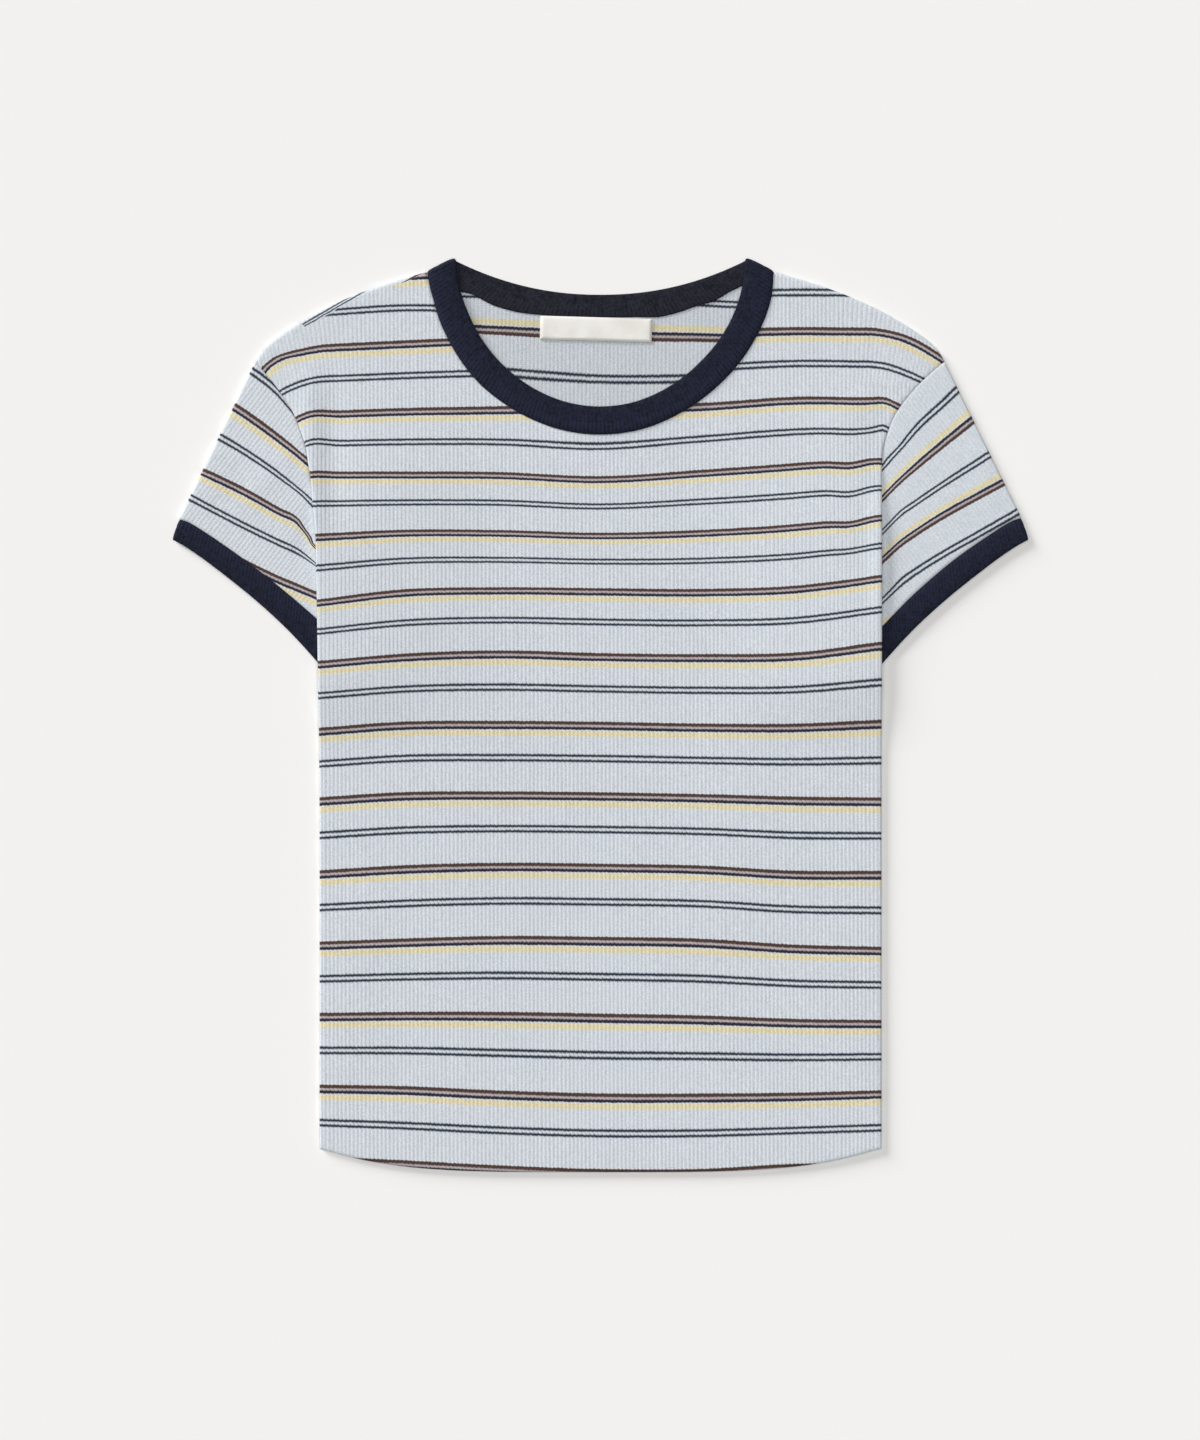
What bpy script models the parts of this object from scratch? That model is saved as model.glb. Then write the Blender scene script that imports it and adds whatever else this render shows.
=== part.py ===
"""Short sleeve t-shirt in a fine striped rib knit, laid flat on its back.

The pieces are the ones a maker cuts and sews: front, back, two sleeves, neckband, two cuffs
and a blank neck label. The shirt lies on the floor at z = 0 with its hem towards -Y and its
neck towards +Y. The origin is on the floor, under the middle of the shirt's outline.
Sizes and tables are in millimetres, and add_piece() turns them into metres.
Left and right are the wearer's, so the right sleeve lies at -X.
"""

import math

import bmesh
import bpy
from mathutils import Matrix, Vector
from mathutils.geometry import delaunay_2d_cdt

COLLECTION = "short_sleeve_t_shirt"
METRES = 0.001
SIDES = {"right": -1, "left": 1}

# Cloth
WALL = 1.2              # rib knit of the panels and sleeves
CUFF_WALL = 1.3         # doubled knit of the cuffs
BAND_WALL = 2.0         # doubled knit of the neckband
LAYER_GAP = 0.4         # air between two layers that lie on each other
SEAM_GAP = 0.3          # between two pieces that are sewn together
RIB_PITCH = 2.24        # from one rib to the next
RIB_RELIEF = 0.4        # ribs of the panels and sleeves
BAND_RIB_RELIEF = 0.3   # ribs of the neckband and cuffs

# Levels of the flat layers above the floor
TOP_LAYER_UNDERSIDE = WALL + LAYER_GAP
TOP_LAYER_FACE = TOP_LAYER_UNDERSIDE + WALL
FRONT_BAND_UNDERSIDE = BAND_WALL + LAYER_GAP

# Hem: lowest in the middle, rising towards the side seams
HEM_UP = -256.1
HEM_RISE = 13.5
HEM_POWER = 4
HEM_HALF = 157.4

# Half widths of the body at each height, on the wearer's right and left, in these columns
BODY_COLUMNS = ("up", "right", "left")
SIDE_EDGE = (
    (-243.0, 157.4, 157.4),
    (-60.0, 157.4, 157.4),
    (31.0, 158.2, 157.4),
    (98.0, 159.3, 157.4),
    (131.0, 162.0, 157.4),
)
ARMHOLE = (
    (131.0, 162.0, 157.4),
    (140.0, 163.4, 157.6),
    (152.0, 165.6, 158.9),
    (169.0, 172.0, 165.5),
    (183.0, 181.0, 176.3),
    (191.5, 187.8, 185.2),
    (198.0, 193.5, 192.8),
)
# Shoulder line from the top of the armhole to the neck, with columns out and up
SHOULDER = (
    (187.0, 206.5),
    (173.0, 217.0),
    (152.0, 228.8),
    (128.0, 238.8),
)

# Neckband edges, measured at the fold over the shoulder and at the middle of the neck
FOLD_SEAM = (96.7, 246.6)
FOLD_FREE = (81.0, 254.5)
FRONT_SEAM_UP = 157.9
FRONT_FREE_UP = 172.5
FRONT_SEAM_POWER = 1.85
FRONT_FREE_POWER = 1.95
BACK_SEAM_UP = 223.7
BACK_FREE_UP = 234.8
BACK_SEAM_POWER = 2.4
BACK_FREE_POWER = 2.2

# Cuff edges from the inner fold under the body to the outer fold, with columns out and up
CUFF_SEAM = (
    (151.0, 41.5),
    (158.0, 48.7),
    (175.6, 66.6),
    (196.4, 84.6),
    (215.0, 98.0),
    (229.0, 107.0),
    (236.2, 109.8),
)
CUFF_FREE = (
    (151.0, 21.5),
    (158.5, 30.8),
    (175.0, 48.7),
    (194.6, 66.6),
    (217.3, 84.6),
    (230.6, 94.0),
    (239.6, 99.2),
)

# Sleeve
SLEEVE_RIB_SLANT = math.radians(37.0)
SLEEVE_FOLD_ROUND = 1.0

# The sleeve's inner fold lies under the side of the body, which is lifted over it
TUCK = 6.5
TUCK_UP = 118.0
LIFT = 3.2
LIFT_OUT = (126.0, 147.0)                # from flat to fully lifted
LIFT_UP = (-4.0, 20.0, 133.0, 160.0)     # flat, fully lifted from and to, and flat again
RIB_FADE_OUT = (1.2, 4.5)                # ribs of the sleeve and cuff fade in past the body's edge

# Label
LABEL_SIZE = (62.7, 13.4, 0.6)
LABEL_PLACE = (-2.5, 216.2)

# How finely curves are drawn
CURVE_STEPS = 8
HEM_STEPS = 49
NECK_STEPS = 96
BACK_BAND_POINTS = 33
CUFF_UNDERSIDE_POINTS = 13
FOLD_STEPS = 6
PLAIN_LINE_SKIP = 2     # plain faces use every second rib line
BEND_CLEARANCE = 1.0    # from a bend to the cloth's edge

MATERIALS = {
    "rib_knit_light_blue": ((0.604, 0.651, 0.690), 0.9),
    "rib_knit_navy": ((0.016, 0.018, 0.034), 0.9),
    "woven_label_cream": ((0.840, 0.815, 0.760), 0.8),
}


# ---------------------------------------------------------------- curves

def between(low, high, value):
    """Return how far value lies from low to high, as 0 to 1."""
    return min(1.0, max(0.0, (value - low) / (high - low)))


def smooth_curve(rows, steps=CURVE_STEPS):
    """Return points of a smooth curve that passes through every row."""
    rows = [Vector(row) for row in rows]
    ends = [2 * rows[0] - rows[1]] + rows + [2 * rows[-1] - rows[-2]]
    points = []
    for before, start, end, after in zip(ends, ends[1:], ends[2:], ends[3:]):
        for step in range(steps):
            t = step / steps
            points.append(0.5 * (2 * start + (end - before) * t
                                 + (2 * before - 5 * start + 4 * end - after) * t ** 2
                                 + (3 * start - before - 3 * end + after) * t ** 3))
    return points + [rows[-1]]


def lengths_along(points):
    """Return the distance from the first point to each point, along the line."""
    total = [0.0]
    for start, end in zip(points, points[1:]):
        total.append(total[-1] + (end - start).length)
    return total


def evenly_spaced(points, count):
    """Return count points at even distances along a line."""
    along = lengths_along(points)
    result = []
    span = 0
    for number in range(count):
        target = along[-1] * number / (count - 1)
        while span < len(along) - 2 and along[span + 1] < target:
            span += 1
        share = between(along[span], along[span + 1], target)
        result.append(points[span].lerp(points[span + 1], share))
    return result


def moved_right(points, distance):
    """Return the line moved to its own right-hand side."""
    moved = []
    for number, point in enumerate(points):
        before = points[max(0, number - 1)]
        after = points[min(len(points) - 1, number + 1)]
        along = (after - before).normalized()
        moved.append(point + Vector((along.y, -along.x)) * distance)
    return moved


def trimmed(points, length):
    """Return the line without a length at each of its ends."""
    along = lengths_along(points)
    ends = []
    for target in (length, along[-1] - length):
        span = max(i for i in range(len(along) - 1) if along[i] <= target)
        share = between(along[span], along[span + 1], target)
        ends.append(points[span].lerp(points[span + 1], share))
    inside = [p for p, at in zip(points, along) if length < at < along[-1] - length]
    return [ends[0]] + inside + [ends[1]]


def neck_scoop(half, top, bottom, power):
    """Return the front neck curve from the left shoulder fold to the right one."""
    points = []
    for step in range(NECK_STEPS + 1):
        angle = math.pi * step / NECK_STEPS
        out = half * abs(math.cos(angle)) ** (2 / power)
        down = (top - bottom) * math.sin(angle) ** (2 / power)
        points.append(Vector((math.copysign(out, math.cos(angle)), top - down)))
    return points


def neck_dip(half, top, bottom, power):
    """Return the back neck curve from the right shoulder fold to the left one."""
    points = []
    for step in range(NECK_STEPS + 1):
        out = half * (2 * step / NECK_STEPS - 1)
        points.append(Vector((out, bottom + (top - bottom) * abs(out / half) ** power)))
    return points


def half_width(table, up, side):
    """Read the body's half width at a height from one of its tables."""
    column = BODY_COLUMNS.index(side)
    for low, high in zip(table, table[1:]):
        if low[0] <= up <= high[0]:
            share = between(low[0], high[0], up)
            return low[column] + (high[column] - low[column]) * share
    return table[-1][column]


# ---------------------------------------------------------------- heights

def lift(point):
    """Return how high the body's side is lifted over the tucked sleeve."""
    across = between(*LIFT_OUT, abs(point.x))
    rise = between(LIFT_UP[0], LIFT_UP[1], point.y)
    fall = between(LIFT_UP[3], LIFT_UP[2], point.y)
    return LIFT * across * min(rise, fall)


def rib(distance):
    """Return 1 on a rib and 0 in the groove between two ribs."""
    return abs((distance / RIB_PITCH) % 1.0 - 0.5) * 2


def across_ribs(slant):
    """Return the direction that crosses ribs which lean by slant from upright."""
    return Vector((math.cos(slant), math.sin(slant)))


# ---------------------------------------------------------------- meshes

class Piece:
    """Points and faces of one piece of the shirt, in millimetres."""

    def __init__(self):
        self.points = []
        self.faces = []

    def add(self, points):
        """Add points and return their numbers."""
        first = len(self.points)
        self.points.extend(Vector(point) for point in points)
        return list(range(first, len(self.points)))

    def zip(self, near, far):
        """Close the strip between two lines of points that may differ in number."""
        near_at = self.shares(near)
        far_at = self.shares(far)
        i = 0
        j = 0
        while i < len(near) - 1 or j < len(far) - 1:
            near_next = near_at[i + 1] if i < len(near) - 1 else math.inf
            far_next = far_at[j + 1] if j < len(far) - 1 else math.inf
            if near_next <= far_next:
                self.faces.append((near[i], near[i + 1], far[j]))
                i += 1
            else:
                self.faces.append((near[i], far[j + 1], far[j]))
                j += 1

    def shares(self, numbers):
        """Return how far along its line each numbered point lies, from 0 to 1."""
        flat = [self.points[n].xy for n in numbers]
        along = lengths_along(flat)
        return [length / along[-1] for length in along]

    def skin(self, runs, chords, height):
        """Fill a flat outline, keep its chords as edges, and return its runs of numbers."""
        loop = [point for run in runs for point in run[:-1]]
        edges = [(n, (n + 1) % len(loop)) for n in range(len(loop))]
        flat = list(loop)
        for start, inner, end in chords:
            numbers = [start] + list(range(len(flat), len(flat) + len(inner))) + [end]
            flat.extend(inner)
            edges.extend(zip(numbers, numbers[1:]))
        found, _, faces, sources, _, _ = delaunay_2d_cdt(flat, edges, [], 1, 1e-6)
        numbers = self.add((p.x, p.y, height(p)) for p in found)
        self.faces.extend(tuple(numbers[n] for n in face) for face in faces)
        place = {source: numbers[n] for n, group in enumerate(sources) for source in group}
        first = 0
        run_numbers = []
        for run in runs:
            last = first + len(run) - 1
            run_numbers.append([place[n % len(loop)] for n in range(first, last + 1)])
            first = last
        return run_numbers


def rib_lines(runs, slant, spacing, bends):
    """Cut an outline's runs where rib lines cross them.

    Returns the runs with a point at each crossing, and the chords that join the crossings:
    the first point's number, the points between where the cloth bends, and the last's.
    """
    across = across_ribs(slant)
    cut = []
    crossings = {}
    count = 0
    for run in runs:
        points = [run[0]]
        for start, end in zip(run, run[1:]):
            low = start.dot(across) / spacing
            high = end.dot(across) / spacing
            lines = range(math.ceil(min(low, high)), math.floor(max(low, high)) + 1)
            for line in sorted(lines, reverse=high < low):
                crossings.setdefault(line, []).append(count + len(points))
                points.append(start.lerp(end, (line - low) / (high - low)))
            points.append(end)
        cut.append(points)
        count += len(points) - 1
    loop = [point for run in cut for point in run[:-1]]
    along = Vector((-across.y, across.x))
    chords = {}
    for line, numbers in crossings.items():
        numbers = sorted((n % len(loop) for n in numbers), key=lambda n: loop[n].dot(along))
        chords[line] = [(a, bends(loop[a], loop[b]), b) for a, b in zip(numbers[::2], numbers[1::2])]
    return cut, chords


def add_piece(name, piece, material, collection):
    """Make one object, in metres, from a piece's points and faces."""
    mesh = bpy.data.meshes.new(name)
    mesh.from_pydata([point * METRES for point in piece.points], [], piece.faces)
    shape = bmesh.new()
    shape.from_mesh(mesh)
    bmesh.ops.recalc_face_normals(shape, faces=shape.faces)
    shape.to_mesh(mesh)
    shape.free()
    mesh.materials.append(material)
    collection.objects.link(bpy.data.objects.new(name, mesh))


# ---------------------------------------------------------------- front and back

def bends_of_body(start, end):
    """Return the points where a line up the body bends over the tucked sleeve.

    The last rib line inside the lifted side has them too, so that the middle stays flat.
    """
    if max(abs(start.x), abs(end.x)) < LIFT_OUT[0] - RIB_PITCH:
        return []
    return [start.lerp(end, (up - start.y) / (end.y - start.y)) for up in LIFT_UP
            if start.y + BEND_CLEARANCE < up < end.y - BEND_CLEARANCE]


def body_half(side):
    """Return one side of the body's outline, from the hem up to the neck corner."""
    column = BODY_COLUMNS.index(side)
    edge = smooth_curve([(row[column], row[0]) for row in SIDE_EDGE[:-1]])
    corner = neck_corner()
    armhole = smooth_curve([(row[column], row[0]) for row in ARMHOLE])
    shoulder = smooth_curve([armhole[-1], *SHOULDER, corner])
    points = edge + armhole + shoulder[1:]
    return [Vector((SIDES[side] * point.x, point.y)) for point in points]


def fold_outward():
    """Return the direction in which the neckband's fold points, on the left shoulder."""
    fold = (Vector(FOLD_SEAM) - Vector(FOLD_FREE)).normalized()
    return Vector((-fold.y, fold.x))


def neck_corner():
    """Return the panels' corner beside the neckband's fold, on the left shoulder."""
    fold = (Vector(FOLD_SEAM) - Vector(FOLD_FREE)).normalized()
    bulge = BAND_WALL + LAYER_GAP / 2
    return Vector(FOLD_SEAM) + fold * SEAM_GAP + fold_outward() * (bulge - SEAM_GAP)


def hem():
    """Return the hem from the right side seam to the left one."""
    points = []
    for step in range(1, HEM_STEPS):
        out = HEM_HALF * (2 * step / HEM_STEPS - 1)
        points.append(Vector((out, HEM_UP + HEM_RISE * abs(out / HEM_HALF) ** HEM_POWER)))
    return points


def body_outline(neck):
    """Return the body's outline, anticlockwise from the hem, round the given neck edge."""
    left = body_half("left")
    right = body_half("right")
    return hem() + left + neck + right[::-1]


def panel(name, neck, underside, relief, material, collection):
    """Build the front or back: ribs on its upper face where it has relief, and a plain face."""
    loop = body_outline(neck)
    runs = [loop + loop[:1]]
    cut, chords = rib_lines(runs, 0.0, RIB_PITCH / 2, bends_of_body)
    bent = [c for line, group in chords.items() if line % PLAIN_LINE_SKIP == 0
            for c in group if c[1]]
    every = [c for group in chords.values() for c in group]

    def upper(point):
        return underside + WALL + lift(point) + relief * rib(point.x)

    def lower(point):
        return underside + lift(point)

    piece = Piece()
    top, = piece.skin(cut, every if relief else bent, upper)
    bottom, = piece.skin(cut, bent, lower)
    piece.zip(bottom, top)
    add_piece(name, piece, material, collection)


# ---------------------------------------------------------------- sleeves

def sleeve_runs(side):
    """Return the four edges of a sleeve: armhole, inner fold, cuff seam and outer fold."""
    column = BODY_COLUMNS.index(side)
    seam = smooth_curve([(row[column], row[0]) for row in reversed(ARMHOLE)])
    seam = [Vector(point) for point in seam]
    armhole = moved_right(seam, -SEAM_GAP)
    fold_top = Vector((half_width(SIDE_EDGE, TUCK_UP, side) - TUCK, TUCK_UP))
    cuff_seam = smooth_curve(CUFF_SEAM)
    runs = [armhole + [fold_top], [fold_top, cuff_seam[0]], cuff_seam, [cuff_seam[-1], armhole[0]]]
    return [[Vector((SIDES[side] * p.x, p.y)) for p in run] for run in runs]


def rounded_runs(runs, inset):
    """Return a sleeve's edges with both folds moved in by about the inset."""
    armhole = trimmed(runs[0], inset)
    cuff = trimmed(runs[2], inset)
    return [armhole, [armhole[-1], cuff[0]], cuff, [cuff[-1], armhole[0]]]


def sleeve(side, material, collection):
    """Build one sleeve: a tube of cloth pressed flat, open at the armhole and at the cuff."""
    sign = SIDES[side]
    slant = sign * SLEEVE_RIB_SLANT
    across = across_ribs(slant)
    outline = sleeve_runs(side)
    edge = half_width(SIDE_EDGE, TUCK_UP, side)

    def bends(start, end):
        points = []
        for out in sorted((edge + fade for fade in RIB_FADE_OUT), reverse=abs(start.x) > abs(end.x)):
            share = (sign * out - start.x) / (end.x - start.x)
            if 0.02 < share < 0.98:
                points.append(start.lerp(end, share))
        return points

    def ribbed(point):
        fade = between(edge + RIB_FADE_OUT[0], edge + RIB_FADE_OUT[1], abs(point.x))
        return TOP_LAYER_FACE + RIB_RELIEF * fade * rib(point.dot(across))

    piece = Piece()
    face = rounded_runs(outline, SLEEVE_FOLD_ROUND)
    hollow = rounded_runs(outline, WALL + SLEEVE_FOLD_ROUND / 2)
    cut, chords = rib_lines(face, slant, RIB_PITCH / 2, bends)
    every = [chord for group in chords.values() for chord in group]
    top = piece.skin(cut, every, ribbed)
    ceiling = piece.skin(hollow, [], lambda point: TOP_LAYER_UNDERSIDE)
    floor = piece.skin(hollow, [], lambda point: WALL)
    bottom = piece.skin(face, [], lambda point: 0.0)
    for opening in (0, 2):
        piece.zip(ceiling[opening], top[opening])
        piece.zip(bottom[opening], floor[opening])
    for fold in (1, 3):
        middle = piece.add((p.x, p.y, TOP_LAYER_FACE / 2) for p in outline[fold])
        piece.zip(middle, top[fold])
        piece.zip(bottom[fold], middle)
        piece.zip(floor[fold], ceiling[fold])
        for end in (0, -1):
            piece.faces.append((top[fold][end], middle[end], bottom[fold][end],
                                floor[fold][end], ceiling[fold][end]))
    add_piece(f"sleeve_{side}", piece, material, collection)


# ---------------------------------------------------------------- neckband and cuffs

def band_section(seam, free, normal, centre, wall, relief):
    """Return the five points round a band, from its seam edge to its rounded free edge."""
    round_off = (free - seam).normalized() * (wall / 2)
    inner_edge = free - round_off
    upper = normal * (wall / 2 + relief)
    lower = normal * (wall / 2)
    middle = Vector((0.0, 0.0, centre))
    return (seam + middle + upper, inner_edge + middle + upper, free + middle,
            inner_edge + middle - lower, seam + middle - lower)


def half_turn(seam, free, outward, levels, wall):
    """Return a band's sections round a fold, from the upper level to the lower one."""
    radius = (levels[0] - levels[1]) / 2
    sections = []
    for step in range(1, FOLD_STEPS):
        angle = math.pi * step / FOLD_STEPS
        normal = Vector((0, 0, 1)) * math.cos(angle) + outward * math.sin(angle)
        shift = normal * radius
        sections.append(band_section(seam + shift, free + shift, normal, sum(levels) / 2, wall, 0.0))
    return sections


def flat_sections(seam, free, level, wall, facing, relief):
    """Return a band's sections along a flat stretch, with a rib on every second one."""
    normal = Vector((0, 0, facing))
    return [band_section(s, f, normal, level, wall, relief(number, s) if relief else 0.0)
            for number, (s, f) in enumerate(zip(seam, free))]


def add_band(name, sections, material, collection):
    """Build a closed band from the sections that follow each other round it."""
    piece = Piece()
    rings = [piece.add(section) for section in sections]
    for ring, after in zip(rings, rings[1:] + rings[:1]):
        for corner in range(len(ring)):
            other = (corner + 1) % len(ring)
            piece.faces.append((ring[corner], ring[other], after[other], after[corner]))
    add_piece(name, piece, material, collection)


def rib_count(line):
    """Return an odd number of points that puts a rib or groove at each of them."""
    return 2 * round(lengths_along(line)[-1] / RIB_PITCH) + 1


def raised(points):
    """Return flat points as points in space, at height 0."""
    return [point.to_3d() for point in points]


def front_seam_line():
    """Return the neckband's sewn edge across the front, from left to right."""
    return neck_scoop(FOLD_SEAM[0], FOLD_SEAM[1], FRONT_SEAM_UP, FRONT_SEAM_POWER)


def back_seam_line():
    """Return the neckband's sewn edge across the back, from right to left."""
    return neck_dip(FOLD_SEAM[0], FOLD_SEAM[1], BACK_SEAM_UP, BACK_SEAM_POWER)


def neckband(material, collection):
    """Build the neckband: a ring that folds over at each shoulder."""
    front_free = neck_scoop(FOLD_FREE[0], FOLD_FREE[1], FRONT_FREE_UP, FRONT_FREE_POWER)
    back_free = neck_dip(FOLD_FREE[0], FOLD_FREE[1], BACK_FREE_UP, BACK_FREE_POWER)
    count = rib_count(front_seam_line())
    front = [raised(evenly_spaced(line, count)) for line in (front_seam_line(), front_free)]
    back = [raised(evenly_spaced(line, BACK_BAND_POINTS)) for line in (back_seam_line(), back_free)]
    levels = (FRONT_BAND_UNDERSIDE + BAND_WALL / 2, BAND_WALL / 2)
    left_out = fold_outward().to_3d()
    right_out = Vector((-left_out.x, left_out.y, 0.0))

    def ribs(number, _place):
        return BAND_RIB_RELIEF * (number % 2)

    sections = flat_sections(*front, levels[0], BAND_WALL, 1, ribs)
    sections += half_turn(front[0][-1], front[1][-1], right_out, levels, BAND_WALL)
    sections += flat_sections(*back, levels[1], BAND_WALL, -1, None)
    sections += reversed(half_turn(front[0][0], front[1][0], left_out, levels, BAND_WALL))
    add_band("neckband", sections, material, collection)


def cuff(side, material, collection):
    """Build one cuff: a ring pressed flat, sewn to the end of the sleeve."""
    sign = SIDES[side]
    levels = (CUFF_WALL * 1.5 + SEAM_GAP, CUFF_WALL / 2)
    bulge = (levels[0] - levels[1] + CUFF_WALL) / 2
    seam = moved_right(smooth_curve(CUFF_SEAM), SEAM_GAP)
    seam = [Vector((sign * p.x, p.y)) for p in trimmed(seam, bulge)]
    free = [Vector((sign * p.x, p.y)) for p in trimmed(smooth_curve(CUFF_FREE), bulge)]
    above = [raised(evenly_spaced(line, rib_count(seam))) for line in (seam, free)]
    below = [raised(evenly_spaced(line, CUFF_UNDERSIDE_POINTS))[::-1] for line in (seam, free)]
    outer = (above[0][-1] - above[0][-2]).normalized()
    inner = (above[0][0] - above[0][1]).normalized()
    edge = half_width(SIDE_EDGE, CUFF_SEAM[0][1], side)

    def ribs(number, place):
        fade = between(edge + RIB_FADE_OUT[0], edge + RIB_FADE_OUT[1], abs(place.x))
        return BAND_RIB_RELIEF * (number % 2) * fade

    sections = flat_sections(*above, levels[0], CUFF_WALL, 1, ribs)
    sections += half_turn(above[0][-1], above[1][-1], outer, levels, CUFF_WALL)
    sections += flat_sections(*below, levels[1], CUFF_WALL, -1, None)
    sections += reversed(half_turn(above[0][0], above[1][0], inner, levels, CUFF_WALL))
    add_band(f"cuff_{side}", sections, material, collection)


# ---------------------------------------------------------------- label

def label(material, collection):
    """Build the blank label that lies inside the back, under the neckband."""
    size = Vector(LABEL_SIZE)
    centre = Vector((*LABEL_PLACE, WALL + SEAM_GAP + size.z / 2))
    mesh = bpy.data.meshes.new("label")
    shape = bmesh.new()
    place = Matrix.Translation(centre * METRES) @ Matrix.Diagonal(size * METRES).to_4x4()
    bmesh.ops.create_cube(shape, size=1.0, matrix=place)
    shape.to_mesh(mesh)
    shape.free()
    mesh.materials.append(material)
    collection.objects.link(bpy.data.objects.new("label", mesh))


# ---------------------------------------------------------------- the shirt

def make_material(name, colour, roughness):
    """Make one plain cloth material."""
    material = bpy.data.materials.new(name)
    material.use_nodes = True
    shader = material.node_tree.nodes["Principled BSDF"]
    shader.inputs["Base Color"].default_value = (*colour, 1.0)
    shader.inputs["Roughness"].default_value = roughness
    shader.inputs["Metallic"].default_value = 0.0
    return material


def clear_scene():
    """Remove whatever the scene holds."""
    for old in list(bpy.data.objects):
        bpy.data.objects.remove(old, do_unlink=True)


def main():
    """Build every piece of the shirt."""
    clear_scene()
    shirt = bpy.data.collections.new(COLLECTION)
    bpy.context.scene.collection.children.link(shirt)
    cloth, navy, cream = (make_material(name, *look) for name, look in MATERIALS.items())
    front_neck = moved_right(front_seam_line(), -SEAM_GAP)
    back_neck = moved_right(back_seam_line(), SEAM_GAP)[::-1]
    panel("back", back_neck, 0.0, 0.0, cloth, shirt)
    panel("front", front_neck, TOP_LAYER_UNDERSIDE, RIB_RELIEF, cloth, shirt)
    for side in SIDES:
        sleeve(side, cloth, shirt)
        cuff(side, navy, shirt)
    neckband(navy, shirt)
    label(cream, shirt)


main()
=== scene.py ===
"""Looks of a short sleeve t-shirt in striped rib knit, laid flat on its back.

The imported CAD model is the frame. Each of its nodes is replaced by the cloth that a maker would
cut and sew: front, back, two sleeves, neckband, two cuffs and a blank neck label.
Tables and sizes are in millimetres, in the frame's own axes: the hem lies towards -Y, the neck
towards +Y, and the floor is z = 0. Left and right are the wearer's, so the right side is -X.
"""

import math

import bmesh
import bpy
import numpy as np
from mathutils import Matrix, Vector
from mathutils.geometry import delaunay_2d_cdt
from mathutils.kdtree import KDTree


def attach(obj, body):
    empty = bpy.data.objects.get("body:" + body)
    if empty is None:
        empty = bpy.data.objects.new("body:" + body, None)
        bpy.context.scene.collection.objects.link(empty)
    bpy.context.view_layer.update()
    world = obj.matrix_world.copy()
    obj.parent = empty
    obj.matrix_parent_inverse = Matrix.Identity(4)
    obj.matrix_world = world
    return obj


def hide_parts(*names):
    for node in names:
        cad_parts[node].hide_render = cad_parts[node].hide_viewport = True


bl_info = {
    "name": "Striped rib t-shirt",
    "version": (1, 0, 0),
    "blender": (4, 5, 0),
    "location": "3D View > Sidebar > T-shirt",
    "description": "Dresses the laid-out t-shirt in striped rib knit with navy bands",
    "category": "Object",
}

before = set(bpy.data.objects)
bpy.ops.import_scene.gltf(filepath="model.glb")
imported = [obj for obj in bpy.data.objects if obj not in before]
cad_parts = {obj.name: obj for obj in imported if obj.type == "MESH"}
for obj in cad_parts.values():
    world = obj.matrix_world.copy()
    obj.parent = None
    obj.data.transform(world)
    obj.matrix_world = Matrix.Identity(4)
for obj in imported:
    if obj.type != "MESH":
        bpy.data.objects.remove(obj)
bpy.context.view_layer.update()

METRES = 0.001
SIDES = {"right": -1, "left": 1}
BODY = "root"

# ---------------------------------------------------------------- sizes shared with the CAD model

WALL = 1.2
CUFF_WALL = 1.3
BAND_WALL = 2.0
LAYER_GAP = 0.4
SEAM_GAP = 0.3
RIB_PITCH = 2.24

TOP_LAYER_UNDERSIDE = WALL + LAYER_GAP
TOP_LAYER_FACE = TOP_LAYER_UNDERSIDE + WALL
FRONT_BAND_UNDERSIDE = BAND_WALL + LAYER_GAP

HEM_UP = -256.1
HEM_RISE = 13.5
HEM_POWER = 4
HEM_HALF = 157.4

BODY_COLUMNS = ("up", "right", "left")
SIDE_EDGE = (
    (-243.0, 157.4, 157.4),
    (-60.0, 157.4, 157.4),
    (31.0, 158.2, 157.4),
    (98.0, 159.3, 157.4),
    (131.0, 162.0, 157.4),
)
ARMHOLE = (
    (131.0, 162.0, 157.4),
    (140.0, 163.4, 157.6),
    (152.0, 165.6, 158.9),
    (169.0, 172.0, 165.5),
    (183.0, 181.0, 176.3),
    (191.5, 187.8, 185.2),
    (198.0, 193.5, 192.8),
)
SHOULDER = ((187.0, 206.5), (173.0, 217.0), (152.0, 228.8), (128.0, 238.8))

# Where the neckband folds over at the left shoulder: its sewn edge and its folded edge
FOLD_SEAM = (96.7, 246.6)
FOLD_FREE = (81.0, 254.5)
# Lowest point and roundness of the neckband's edges
FRONT_SEAM = (157.9, 1.85)
FRONT_FREE = (172.5, 1.95)
BACK_SEAM = (223.2, 2.65)
BACK_FREE = (235.6, 2.13)
# How far the real band strays from those even curves, at percents of their length. In front it is
# outwards, and at the back it is down.
FRONT_SEAM_STRAY = (
    (0, 0.0), (6, 0.4), (14, 0.1), (25, 0.4), (41, 1.2), (50, 0.7), (59, 1.2), (75, 0.9),
    (85, -0.9), (94, -1.5), (100, 0.0),
)
FRONT_FREE_STRAY = (
    (0, 0.0), (14, -0.5), (25, -1.2), (33, -0.9), (42, -0.3), (58, -0.2), (66, -0.5), (75, -0.8),
    (88, -1.1), (100, 0.0),
)
BACK_SEAM_STRAY = (
    (0, 0.0), (9, -0.8), (13, -2.0), (16, -0.8), (19, 0.2), (26, 0.7), (31, 0.4), (40, 0.1),
    (60, 0.4), (67, 1.5), (72, 0.5), (78, -1.1), (83, -0.9), (88, -3.0), (92, -3.2), (100, 0.0),
)

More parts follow.
